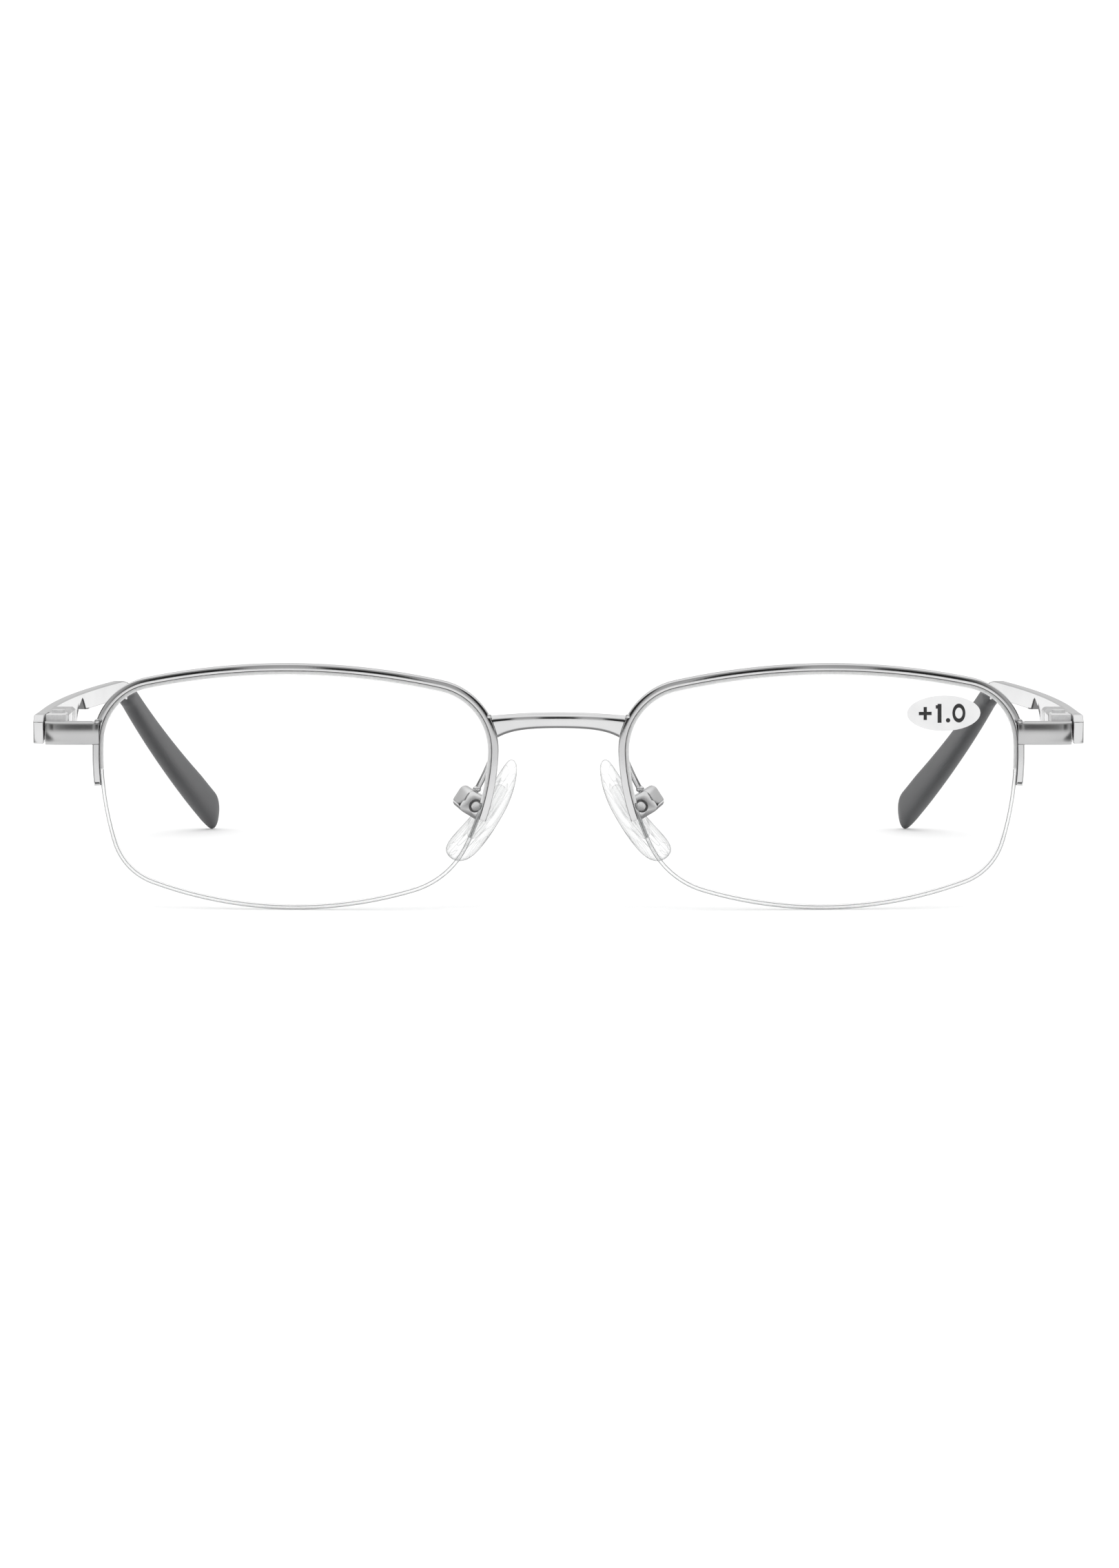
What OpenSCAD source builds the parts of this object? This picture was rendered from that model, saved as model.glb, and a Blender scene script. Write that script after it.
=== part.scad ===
// Half rim reading glasses that stand open, with spring hinged temples.
// +X is to the right as seen from the front, +Y points to the rear and +Z up.
// The origin lies on the ground, at the middle of the glasses' width and depth.
// Each side part is made for the +X side, and left() mirrors it to the -X side.

/* [Lens] */
// Width of one lens
lens_a = 50.2; // [47:0.1:53]
// Height of one lens
lens_b = 30.4; // [29:0.2:32]
// Distance between the two lenses
nose_gap = 17.1; // [16:0.1:20]
// Radius of the long upper side of the lens outline
top_r = 88; // [80:1:100]
// Radius of the long lower side of the lens outline
low_r = 55; // [50:1:65]
// Radius of the outer side of the lens outline
outer_r = 40; // [36:1:46]
// Radius of the nose side of the lens outline
nose_r = 30; // [27:1:34]
// Height of the outer side's middle over the lens centre
outer_apex = 4.6; // [3.6:0.1:5.4]
// Height of the nose side's middle over the lens centre
nose_apex = 6.1; // [5.2:0.1:6.8]
// Radius of the corner between the nose side and the upper side
nose_top_r = 8.2; // [7:0.1:9]
// Radius of the corner between the upper side and the outer side
outer_top_r = 7.6; // [6.4:0.1:8.4]
// Radius of the corner between the outer side and the lower side
outer_low_r = 7.8; // [7:0.1:10]
// Radius of the corner between the lower side and the nose side
nose_low_r = 11; // [10:0.1:12]
// Radius of the lens's front surface
dome_r = 110; // [100:1:125]
// Distance of that surface's axis from the lens centre, towards the nose
dome_shift = 8; // [5:0.5:9]
// Power of the lens in dioptres
lens_power = 1; // [0.5:0.25:3]
// Thickness of the lens at its outer edge
lens_edge_t = 1.35; // [1.3:0.05:1.8]
// Distance of the optical centre from the lens centre, towards the nose
optic_shift = 2.5; // [0:0.5:4]
// Depth of the groove round the lens edge
groove_depth = 0.5; // [0.4:0.05:0.6]
// Width of the groove round the lens edge
groove_w = 0.55; // [0.5:0.01:0.6]
// Distance of the groove's middle behind the front surface
groove_at = 0.72; // [0.68:0.01:0.8]

/* [Rim] */
// Width of the rim as seen from the front
rim_w = 0.95; // [0.9:0.05:1.2]
// Depth of the rim from front to rear
rim_d = 2.2; // [2:0.1:2.6]
// Distance of the rim's front edge before the lens's front surface
rim_proud = 0.35; // [0.2:0.05:0.5]
// Depth of the channel inside the rim
channel_depth = 0.45; // [0.35:0.05:0.5]
// Turn below level at which the rim's nose leg ends
nose_leg_turn = 19; // [16:1:22]
// Turn below level at which the rim's outer leg ends
outer_leg_turn = 6; // [4:1:8]
// Diameter of the nylon cord
cord_d = 0.5; // [0.44:0.01:0.5]
// Height of the cord over the lens edge
cord_proud = 0.1; // [0.05:0.05:0.2]
// Length of the cord that lies inside each end of the rim
cord_tuck = 2; // [1.5:0.5:3]

/* [Bridge] */
// Height of the bridge's underside over the ground at its middle
bridge_z = 23.25; // [22.5:0.05:24]
// Height of the bridge at its middle
bridge_h = 2; // [1.8:0.1:2.4]
// Height of the bridge where it meets the rims
bridge_end_h = 2.75; // [2.4:0.05:3]
// Drop of the bridge's upper edge from its middle to its ends
bridge_drop = 0.5; // [0.3:0.1:0.8]
// Depth of the bridge from front to rear
bridge_d = 1.8; // [1.6:0.1:2]

/* [Endpiece] */
// Reach of the endpiece past the rim, to the side
arm_reach = 7.5; // [7:0.1:9]
// Distance of the endpiece's front face behind the foremost point
arm_at = 4.3; // [4:0.1:4.4]
// Thickness of the endpiece's arm
arm_t = 1.7; // [1.5:0.1:1.8]
// Height of the arm's underside over the ground
arm_z = 20.9; // [20.4:0.1:21]
// Height of the arm
arm_h = 3; // [2.8:0.1:3.2]
// Thickness of the tongue that laps over the rim
tongue_t = 0.55; // [0.4:0.05:0.55]
// Thickness of the corner that leads back to the hinge
corner_t = 1.5; // [1.4:0.1:1.6]
// Width of the groove in the arm's front face
arm_groove_w = 0.35; // [0.3:0.05:0.5]
// Depth of the groove in the arm's front face
arm_groove_d = 0.3; // [0.2:0.05:0.4]

/* [Hinge] */
// Distance of the hinge axis from the outer face
hinge_in = 2.8; // [2.8:0.05:3]
// Distance of the hinge axis behind the foremost point
hinge_at = 10.6; // [10.4:0.1:11]
// Radius of the hinge barrel
barrel_r = 1.2; // [1.1:0.05:1.2]
// Height of the hinge
hinge_h = 3.4; // [3.2:0.1:3.4]
// Height of the eyelet between the knuckles
eyelet_h = 1.2; // [1:0.1:1.4]
// Gap between the eyelet and each knuckle
knuckle_gap = 0.05; // [0.04:0.01:0.1]
// Radius of the hinge screw
screw_r = 0.6; // [0.5:0.05:0.65]
// Radius of the hinge screw's head
screw_head_r = 0.9; // [0.8:0.05:1]
// Angle by which the temple flexes outward
flex_angle = 8; // [5:1:10]
// Distance of the temple's front end before the hinge axis
butt_at = 0.6; // [0.5:0.1:0.8]

/* [Temple] */
// Height of the temple's upper edge over the ground
temple_top = 24.7; // [24.4:0.1:25]
// Height of the temple near the hinge
plate_h = 3.7; // [3.6:0.1:4]
// Height of the temple behind its cut
bar_h = 2.5; // [2.3:0.1:2.8]
// Thickness of the temple
temple_t = 1.3; // [1.2:0.1:1.4]
// Length of the temple along its middle from the hinge axis to the end
temple_length = 135; // [130:1:145]
// Distance from the hinge axis to the ear bend
bend_at = 81.7; // [78:0.1:86]
// Inner radius of the ear bend along the temple's middle
bend_r = 22; // [18:1:30]
// Radius of the temple's inward bow as seen from above
bow_r = 472; // [450:1:520]
// Distance of the bow's start behind the hinge axis
bow_at = 11.4; // [11:0.1:16]
// Distance of the cut's start behind the hinge axis
cut_at = 40.6; // [36:0.1:44]
// Distance from the cut's start to its highest point
cut_run = 5.4; // [4.5:0.1:6]
// Height that the cut leaves over its highest point
cut_left = 0.8; // [0.7:0.1:1.2]
// Width of the temple core inside the tip
core_h = 1.5; // [1.2:0.1:1.7]
// Thickness of the temple core inside the tip
core_t = 0.9; // [0.8:0.1:1]

/* [Spring case] */
// Length of the spring case
case_length = 12; // [11.5:0.1:12.4]
// Distance of the spring case behind the hinge axis
case_at = 1.6; // [1.6:0.05:1.8]
// Wall of the spring case on its inner side
case_wall = 0.3; // [0.25:0.05:0.35]
// Radius of the sliding rod
rod_r = 0.45; // [0.4:0.05:0.45]
// Length of the sliding rod
rod_length = 8; // [7.5:0.1:8.2]
// Thickness of the bushing in the case's mouth
bushing_t = 1.2; // [1:0.1:1.4]
// Diameter of the spring's wire
spring_wire = 0.26; // [0.2:0.02:0.26]
// Number of turns of the spring
spring_turns = 7; // [5:1:8]

/* [Tip] */
// Distance of the tip's mouth behind the ear bend
tip_at = 0.7; // [0:0.1:3]
// Height of the tip at its mouth
tip_mouth_h = 3; // [2.8:0.1:3.4]
// Reach of the tip below the temple's middle line at its mouth
tip_mouth_low = 1.7; // [1.4:0.1:1.9]
// Height of the tip near its end
tip_h = 4.9; // [4.4:0.1:5.4]
// Reach of the tip below the temple's middle line near its end
tip_low = 2; // [1.8:0.1:2.4]
// Thickness of the tip at its mouth
tip_mouth_t = 2.3; // [2.1:0.1:2.6]
// Thickness of the tip near its end
tip_t = 2.8; // [2.4:0.1:3]
// Length over which the tip's end is rounded
tip_end_run = 3; // [2.5:0.5:6]

/* [Nose pad] */
// Distance of the pad screw from the lens's nose edge, to the side
pad_in = 2.6; // [2.3:0.05:3.2]
// Distance of the pad screw behind the foremost point
pad_at = 8.5; // [8.3:0.1:9.5]
// Height of the pad screw over the ground
pad_z = 13.2; // [12.8:0.1:13.8]
// Lean of the pad as seen from the front
pad_lean = 33; // [30:1:36]
// Splay of the pad as seen from above
pad_splay = 25; // [20:1:28]
// Length of the pad
pad_length = 15; // [13:0.5:16]
// Greatest width of the pad
pad_w = 7.4; // [6.5:0.1:8]
// Thickness of the pad
pad_t = 1.9; // [1.8:0.1:2.2]
// Height of the pad box
box_h = 3; // [2.8:0.1:3.2]
// Depth of the pad box along its screw
box_d = 2.7; // [2.6:0.1:2.8]
// Wall of the pad box
box_wall = 0.4; // [0.35:0.05:0.4]
// Radius of the pad screw
pad_screw_r = 0.4; // [0.35:0.05:0.45]
// Radius of the pad arm's wire
wire_r = 0.38; // [0.3:0.02:0.42]

/* [Sticker] */
// Width of the power sticker
sticker_w = 9.5; // [8:0.1:10.5]
// Height of the power sticker
sticker_h = 4.5; // [4:0.1:5]
// Distance of the sticker's middle from the lens's outer edge
sticker_in = 9.55; // [8.6:0.05:11]
// Distance of the sticker's middle below the lens's upper edge
sticker_drop = 5.45; // [5.1:0.05:6.5]

/* [Hidden] */
$fn = 64;

// Clearance between pieces that are pushed or glued together
fit_gap = 0.03;
// Clearance of a round piece that turns or slides in a bore
run_gap = 0.05;
// A length past any face, so that a cut goes through
past = 1;
// Fineness of the large lens surfaces
dome_fn = 240;

lens_x = (lens_a + nose_gap) / 2;
lens_z = cord_proud + lens_b / 2;
outer_x = lens_x + lens_a / 2 + rim_w + arm_reach;

// Outline of the lens
// The outline has four long sides, in the order nose, top, outer and low, and four corners.
// Its own x points towards the nose and its own y up, both from the lens centre.
top_apex = -0.7;
low_apex = -0.3;
side_r = [nose_r, top_r, outer_r, low_r];
corner_r = [nose_top_r, outer_top_r, outer_low_r, nose_low_r];
side_c = [
    [lens_a / 2 - nose_r, nose_apex],
    [top_apex, lens_b / 2 - top_r],
    [outer_r - lens_a / 2, outer_apex],
    [low_apex, low_r - lens_b / 2]
];
side_steps = [5, 12, 4, 12];
corner_steps = 8;

// The crossing of two circles that lies to the left of the line from a to b
function crossing(a, ra, b, rb) =
    let (d = norm(b - a), u = (b - a) / d)
    let (t = (ra * ra - rb * rb + d * d) / (2 * d))
    a + t * u + sqrt(ra * ra - t * t) * [-u[1], u[0]];

function corner_c(i) =
    let (j = (i + 1) % 4)
    crossing(side_c[i], side_r[i] - corner_r[i], side_c[j], side_r[j] - corner_r[i]);

function turn_of(v) = atan2(v[1], v[0]);
function turn_after(a, b) = b < a ? b + 360 : b;
function side_start(i) = turn_of(corner_c((i + 3) % 4) - side_c[i]);
function side_end(i) = turn_after(side_start(i), turn_of(corner_c(i) - side_c[i]));

// Points of one arc, each with the direction that points out of the lens
function arc(c, r, a0, a1, n) = [for (k = [0 : n - 1])
    let (a = a0 + (a1 - a0) * k / n) [c + r * [cos(a), sin(a)], [cos(a), sin(a)]]];

function side_arc(i, a0, a1, n) = arc(side_c[i], side_r[i], a0, a1, n);

function corner_arc(i) =
    let (c = corner_c(i), j = (i + 1) % 4)
    let (a0 = turn_of(c - side_c[i]))
    arc(c, corner_r[i], a0, turn_after(a0, turn_of(c - side_c[j])), corner_steps);

function last_point(i, a) = side_arc(i, a, a, 1);

// The stretch of the outline that the rim covers, and the stretch that the cord covers.
// Both may start and end a little further along, by a length measured on the sides.
function turn_for(i, length) = length / side_r[i] * 180 / PI;
nose_leg_end = -nose_leg_turn;
outer_leg_end = 180 + outer_leg_turn;

function upper_path(shorter = 0) =
    let (a0 = nose_leg_end + turn_for(0, shorter), a1 = outer_leg_end - turn_for(2, shorter))
    concat(side_arc(0, a0, side_end(0), side_steps[0]), corner_arc(0),
        side_arc(1, side_start(1), side_end(1), side_steps[1]), corner_arc(1),
        side_arc(2, turn_after(0, side_start(2)), a1, side_steps[2]), last_point(2, a1));

function lower_path(longer = 0) =
    let (a0 = outer_leg_end - turn_for(2, longer), a1 = nose_leg_end + turn_for(0, longer))
    let (end2 = turn_after(a0, turn_of(corner_c(2) - side_c[2])))
    concat(side_arc(2, a0, end2, side_steps[2]), corner_arc(2),
        side_arc(3, side_start(3), side_end(3), side_steps[3]), corner_arc(3),
        side_arc(0, side_start(0), a1, side_steps[0]), last_point(0, a1));

function all_but_last(list) = [for (k = [0 : len(list) - 2]) list[k]];
outline = concat(all_but_last(upper_path()), all_but_last(lower_path()));
function grown(out) = [for (p = outline) p[0] + out * p[1]];

// Surfaces of the lens
// Depth of the surface that lies g behind the lens's front surface, at a point of the outline's plane
function dome_depth(p, g) =
    dome_r - sqrt(pow(dome_r - g, 2) - pow(p[0] - dome_shift, 2) - p[1] * p[1]);

lens_index = 1.498;
back_r = 1 / (1 / dome_r - lens_power / (1000 * (lens_index - 1)));
function sag(r, out) = r - sqrt(r * r - out * out);
edge_reach = lens_a / 2 + optic_shift;
lens_t = lens_edge_t + sag(dome_r, edge_reach) - sag(back_r, edge_reach);
optic_lean = asin((dome_shift - optic_shift) / dome_r);
back_step = back_r - dome_r + lens_t;
back_axis = dome_shift + back_step * sin(optic_lean);
back_depth = dome_r + back_step * cos(optic_lean);

// Places
// Front of the whole object, so that the origin is in the middle of its depth
bar_z = temple_top - bar_h / 2;
ear_length = temple_length - bend_at;
ear_angle = asin(bar_z / norm([ear_length, tip_low])) - atan2(tip_low, ear_length);
bend_depth = hinge_at + bend_at;
tip_end = bend_depth + ear_length * cos(ear_angle);
// Share of the tip's height that is left at its very end, and at each ring of its rounded end
tip_end_share = 0.4;
end_parts = [0.2, 0.45, 0.65, 0.82, 0.93, 1];
function tip_share(e) = tip_end_share + (1 - tip_end_share) * sqrt(1 - e * e);
overall_d = tip_end + max([for (e = end_parts)
    (tip_share(e) * tip_h - tip_low) * sin(ear_angle) - tip_end_run * (1 - e)]);
front_y = -overall_d / 2;
function place(x, depth, z) = [x, front_y + depth, z];
function lens_place(p, g) = place(lens_x - p[0], dome_depth(p, g), lens_z + p[1]);

module right() {
    children();
}

module left() {
    mirror([1, 0, 0]) children();
}

// A solid through a list of rings that all have the same number of points
module skin(rings) {
    n = len(rings[0]);
    m = len(rings);
    points = [for (ring = rings) each ring];
    sides = [for (k = [0 : m - 2]) for (i = [0 : n - 1])
        let (j = (i + 1) % n)
        let (a = k * n + i, b = k * n + j)
        each [[a, b, b + n], [a, b + n, a + n]]];
    first = [for (i = [n - 1 : -1 : 0]) i];
    last = [for (i = [0 : n - 1]) (m - 1) * n + i];
    polyhedron(points, concat([first], sides, [last]), convexity = 6);
}

// A strip along the lens edge whose section is a list of [outward, behind the front surface]
module edge_strip(path, section) {
    skin([for (p = path) [for (s = section) lens_place(p[0] + s[0] * p[1], s[1])]]);
}

module lens_prism(points) {
    translate([lens_x, 0, lens_z]) rotate([90, 0, 0]) linear_extrude(2 * dome_r, center = true)
        mirror([1, 0, 0]) polygon(points);
}

module dome(g) {
    translate(place(lens_x - dome_shift, dome_r, lens_z)) sphere(dome_r - g, $fn = dome_fn);
}

module lens() {
    groove_front = groove_at - groove_w / 2;
    groove_back = groove_at + groove_w / 2;
    color("white", 0.35) difference() {
        intersection() {
            lens_prism(grown(0));
            dome(0);
            translate([lens_x, front_y, lens_z]) cube([2 * lens_a, lens_a, 2 * lens_b], center = true);
        }
        translate(place(lens_x - back_axis, back_depth, lens_z)) sphere(back_r, $fn = dome_fn);
        difference() {
            intersection() {
                lens_prism(grown(past));
                dome(groove_front);
            }
            lens_prism(grown(-groove_depth));
            dome(groove_back);
        }
    }
}

module rim() {
    near = fit_gap;
    rear_near = near + 0.05;
    far = rim_w;
    front = -rim_proud;
    rear = rim_d - rim_proud;
    bevel = 0.15;
    section = [
        [far, rear - 0.35], [far - 0.2, rear], [rear_near + bevel, rear], [rear_near, rear - bevel],
        [rear_near, groove_at + groove_w / 2], [near + channel_depth, groove_at + groove_w / 2],
        [near + channel_depth, groove_at - groove_w / 2], [near, groove_at - groove_w / 2],
        [near, front + bevel], [near + 0.2, front], [far - 0.25, front + 0.05], [far, front + 0.35]
    ];
    color("silver") edge_strip(upper_path(), section);
}

module rim_liner() {
    inner = fit_gap - groove_depth;
    outer = channel_depth;
    half = groove_w / 2 - fit_gap;
    section = [
        [inner + 0.05, groove_at - half], [outer, groove_at - half],
        [outer, groove_at + half], [inner + 0.05, groove_at + half]
    ];
    color("white") edge_strip(upper_path(cord_tuck + 0.3), section);
}

module nylon_cord() {
    middle = cord_proud - cord_d / 2;
    section = [for (a = [0 : 45 : 315])
        [middle + cord_d / 2 * sin(a), groove_at - cord_d / 2 * cos(a)]];
    color("white", 0.5) edge_strip(lower_path(cord_tuck), section);
}

// Where the rim's outer face lies at a height y over the lens centre, on the nose side
function nose_reach(y, out) =
    let (c = corner_c(0), r = corner_r[0])
    y > c[1] ? c[0] + sqrt(pow(r + out, 2) - pow(y - c[1], 2))
    : side_c[0][0] + sqrt(pow(nose_r + out, 2) - pow(y - nose_apex, 2));

module bridge() {
    steps = 12;
    corners = 12;
    rim_front = dome_depth([lens_a / 2 + rim_w / 2, nose_apex], -rim_proud);
    end_depth = rim_front + bridge_d / 2 + 0.05;
    bulge = 0.85;
    rings = [for (k = [steps : -1 : -steps])
        let (t = k / steps, e = t * t, h = bridge_h + (bridge_end_h - bridge_h) * e * e)
        let (top = bridge_z + bridge_h - bridge_drop * e, depth = end_depth - bulge * (1 - e))
        [for (i = [0 : corners - 1])
            let (a = i * 360 / corners + 15, c = cos(a), s = sin(a))
            let (z = top - h / 2 + h / 2 * sign(s) * pow(abs(s), 0.6))
            let (y = depth + bridge_d / 2 * sign(c) * pow(abs(c), 0.6))
            place(t * (lens_x - nose_reach(z - lens_z, rim_w + fit_gap)), y, z)]];
    color("silver") skin(rings);
}

// Endpiece
// Side view of the corner, as [depth, height]
corner_z = arm_z + 0.15;
module endpiece() {
    rim_outer = lens_x + lens_a / 2 + rim_w + fit_gap;
    arm_in = outer_x - corner_t;
    groove_x = arm_in + 0.02;
    color("silver") difference() {
        union() {
            translate(place(rim_outer, arm_at, arm_z)) cube([outer_x - rim_outer - 0.3, arm_t, arm_h]);
            translate(place(lens_x + lens_a / 2, arm_at, arm_z))
                cube([rim_w + fit_gap + past, tongue_t, arm_h]);
            translate(place(arm_in, 0, 0)) rotate([90, 0, 90]) linear_extrude(corner_t) polygon([
                [arm_at, corner_z], [arm_at, arm_z + arm_h], [arm_at + 1.6, temple_top],
                [hinge_at, temple_top], [hinge_at, corner_z]
            ]);
        }
        translate(place(groove_x, arm_at - past, arm_z - past))
            cube([arm_groove_w, past + arm_groove_d, arm_h + 2 * past]);
        outer_corner_cut();
        hinge_place() rotate([0, 0, -flex_angle]) translate([-past, -butt_at - fit_gap, 0])
            cube([2 * hinge_in, 2 * hinge_in, 2 * temple_top]);
    }
}

// Rounds the upright outer edge of the corner
module outer_corner_cut() {
    r = 0.7;
    translate(place(outer_x - r, arm_at, 0)) difference() {
        translate([0, -past, 0]) cube([r + past, r + past, 2 * temple_top]);
        translate([0, r, -past]) cylinder(r = r, h = 2 * temple_top + 2 * past);
    }
}

// Hinge
hinge_x = outer_x - hinge_in;
hinge_z = temple_top - hinge_h / 2;
arm_rear = arm_at + arm_t;
plate_in = hinge_in - temple_t;
corner_in = hinge_in - corner_t;

module hinge_place() {
    translate(place(hinge_x, hinge_at, 0)) children();
}

module front_hinge() {
    slot_h = eyelet_h + 2 * knuckle_gap;
    slot_reach = barrel_r + 0.15;
    base = hinge_at - arm_rear;
    low = hinge_z - hinge_h / 2;
    color("silver") hinge_place() difference() {
        union() {
            translate([0, 0, low]) cylinder(r = barrel_r, h = hinge_h);
            translate([-barrel_r, -base, low]) cube([2 * barrel_r, base, hinge_h]);
            translate([0, -base, low]) cube([corner_in, base - slot_reach, hinge_h]);
        }
        translate([-barrel_r - past, -slot_reach, hinge_z - slot_h / 2])
            cube([2 * (barrel_r + past), slot_reach + barrel_r + past, slot_h]);
        translate([0, 0, low - past]) cylinder(r = screw_r + 0.02, h = hinge_h + 2 * past);
    }
}

module hinge_screw() {
    low = hinge_z - hinge_h / 2;
    head_h = 0.35;
    slot_w = 0.25;
    color("silver") hinge_place() difference() {
        union() {
            translate([0, 0, low + 0.05]) cylinder(r = screw_r, h = hinge_h);
            translate([0, 0, temple_top + 0.01]) cylinder(r = screw_head_r, h = head_h);
        }
        translate([-past, -slot_w / 2, temple_top + head_h - 0.15]) cube([2 * past, slot_w, past]);
    }
}

module hinge_slider() {
    neck_w = 2 * rod_r;
    neck_h = eyelet_h - 0.1;
    color("silver") hinge_place() difference() {
        union() {
            translate([0, 0, hinge_z - eyelet_h / 2]) cylinder(r = barrel_r, h = eyelet_h);
            translate([-neck_w / 2, 0, hinge_z - neck_h / 2]) cube([neck_w, case_at, neck_h]);
            translate([0, case_at, hinge_z]) rotate([-90, 0, 0]) cylinder(r = rod_r, h = rod_length);
        }
        translate([0, 0, hinge_z - eyelet_h]) cylinder(r = screw_r + run_gap, h = 2 * eyelet_h);
    }
}

stop_t = 0.8;
stop_r = 0.8;
stop_at = case_at + rod_length - stop_t;
bushing_at = case_at + 0.1;
bushing_end = bushing_at + bushing_t;

module slider_stop() {
    color("gray") hinge_place() translate([0, stop_at, hinge_z]) rotate([-90, 0, 0]) difference() {
        cylinder(r = stop_r, h = stop_t);
        translate([0, 0, -past]) cylinder(r = rod_r + 0.01, h = stop_t + 2 * past);
    }
}

module hinge_spring() {
    round_steps = 10;
    wire = spring_wire / 2;
    coil_r = rod_r + 0.09 + wire;
    first = bushing_end + wire + 0.02;
    last = stop_at - wire - 0.02;
    count = spring_turns * round_steps;
    rings = [for (k = [0 : count])
        let (a = 360 * k / round_steps, y = first + (last - first) * k / count)
        [for (w = [300 : -60 : 0])
            let (out = coil_r + wire * cos(w))
            [out * cos(a), y + wire * sin(w), out * sin(a)]]];
    color("gray") hinge_place() translate([0, 0, hinge_z]) skin(rings);
}

cavity_w = 2 * (barrel_r - case_wall);
cavity_h = cavity_w + 0.1;

module hinge_bushing() {
    side = cavity_w - 2 * fit_gap;
    height = cavity_h - 2 * fit_gap;
    color("gray") hinge_place() translate([0, bushing_at, hinge_z]) difference() {
        translate([-side / 2, 0, -height / 2]) cube([side, bushing_t, height]);
        rotate([-90, 0, 0]) translate([0, 0, -past]) cylinder(r = rod_r + run_gap, h = bushing_t + 2 * past);
    }
}

module spring_case() {
    bevel = 0.35;
    end_wall = 0.9;
    low = hinge_z - hinge_h / 2;
    high = hinge_z + hinge_h / 2;
    color("silver") hinge_place() difference() {
        translate([0, case_at + case_length, 0]) rotate([90, 0, 0]) linear_extrude(case_length) polygon([
            [-barrel_r + bevel, low], [plate_in, low], [plate_in, high],
            [-barrel_r + bevel, high], [-barrel_r, high - bevel], [-barrel_r, low + bevel]
        ]);
        translate([-cavity_w / 2, case_at - past, hinge_z - cavity_h / 2])
            cube([cavity_w, case_length - end_wall + past, cavity_h]);
    }
}

// Temple
// Its middle line runs straight to the rear, bows inward, and drops behind the ear bend.
bow_depth = hinge_at + bow_at;
bend_reach = bend_r * tan(ear_angle / 2);
arc_start = bend_depth - bend_reach;
arc_end = arc_start + bend_r * sin(ear_angle);
tip_depth = bend_depth + tip_at;
core_end = bend_depth + 0.85 * (tip_end - bend_depth);

function mid_z(depth) =
    depth < arc_start ? bar_z
    : depth < arc_end ? bar_z - sag(bend_r, depth - arc_start)
    : bar_z - (depth - bend_depth) * tan(ear_angle);
function slope(depth) =
    depth < arc_start ? 0 : depth < arc_end ? asin((depth - arc_start) / bend_r) : ear_angle;
function mid_x(depth) =
    let (r = bow_r - temple_t / 2, run = max(0, depth - bow_depth))
    outer_x - bow_r + sqrt(r * r - run * run);
function bow_turn(depth) = asin(max(0, depth - bow_depth) / bow_r);

// A point off the middle line in the side view, as [depth, height]
function off_line(depth, up) =
    let (a = slope(depth)) [depth + up * sin(a), mid_z(depth) + up * cos(a)];
function steps_between(a, b, n) = [for (k = [0 : n]) a + (b - a) * k / n];

// A wall of thickness t round the temple's middle surface, as seen from above
module bowed_wall(t) {
    middle = outer_x - temple_t / 2;
    middle_r = bow_r - temple_t / 2;
    long = 2 * temple_length;
    translate(place(middle - t / 2, 0, 0)) cube([t, bow_depth, 2 * temple_top]);
    translate(place(outer_x - bow_r, bow_depth, 0)) intersection() {
        difference() {
            cylinder(r = middle_r + t / 2, h = 2 * temple_top, $fn = 1000);
            translate([0, 0, -past]) cylinder(r = middle_r - t / 2, h = 3 * temple_top, $fn = 1000);
        }
        translate([0, 0, -past]) cube([2 * bow_r, long, 4 * temple_top]);
    }
}

module side_view(points) {
    translate(place(0, 0, 0)) rotate([90, 0, 90]) linear_extrude(2 * outer_x) polygon(points);
}

module temple_bar() {
    front = hinge_at - butt_at;
    plate_z = temple_top - plate_h;
    cut = hinge_at + cut_at;
    peak = cut + cut_run;
    peak_z = temple_top - cut_left;
    mouth = tip_depth - 0.12;
    bend_steps = steps_between(arc_start, mouth, 6);
    core_steps = steps_between(mouth - 0.5, arc_end, 5);
    color("silver") {
        intersection() {
            side_view(concat(
                [[front, plate_z], [cut, plate_z]],
                [[cut + 0.45 * cut_run, plate_z + 0.65 * (peak_z - plate_z)]],
                [[peak, peak_z], [peak + 1.3, peak_z - 0.3], [peak + 3.4, bar_z - bar_h / 2 + 0.1]],
                [[peak + 6, bar_z - bar_h / 2]],
                [for (d = bend_steps) off_line(d, -bar_h / 2)],
                [for (k = [len(bend_steps) - 1 : -1 : 0]) off_line(bend_steps[k], bar_h / 2)],
                [[front, temple_top]]
            ));
            bowed_wall(temple_t);
        }
        intersection() {
            side_view(concat(
                [for (d = core_steps) off_line(d, -core_h / 2)], [off_line(core_end, -core_h / 2)],
                [off_line(core_end, core_h / 2)],
                [for (k = [len(core_steps) - 1 : -1 : 0]) off_line(core_steps[k], core_h / 2)]
            ));
            bowed_wall(core_t);
        }
    }
}

// A ring square to the temple's middle line, with corners rounded by the given power
function tip_ring(depth, width, low, high, corners, power) =
    let (a = slope(depth), b = bow_turn(depth))
    let (along = [-sin(b) * cos(a), cos(b) * cos(a), -sin(a)], side = [cos(b), sin(b), 0])
    let (up = cross(side, along), middle = place(mid_x(depth), depth, mid_z(depth)))
    [for (i = [0 : corners - 1])
        let (w = 360 * (i + 0.5) / corners, c = cos(w), s = sin(w))
        middle + side * width / 2 * sign(c) * pow(abs(c), power)
            + up * ((high + low) / 2 + (high - low) / 2 * sign(s) * pow(abs(s), power))];

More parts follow.
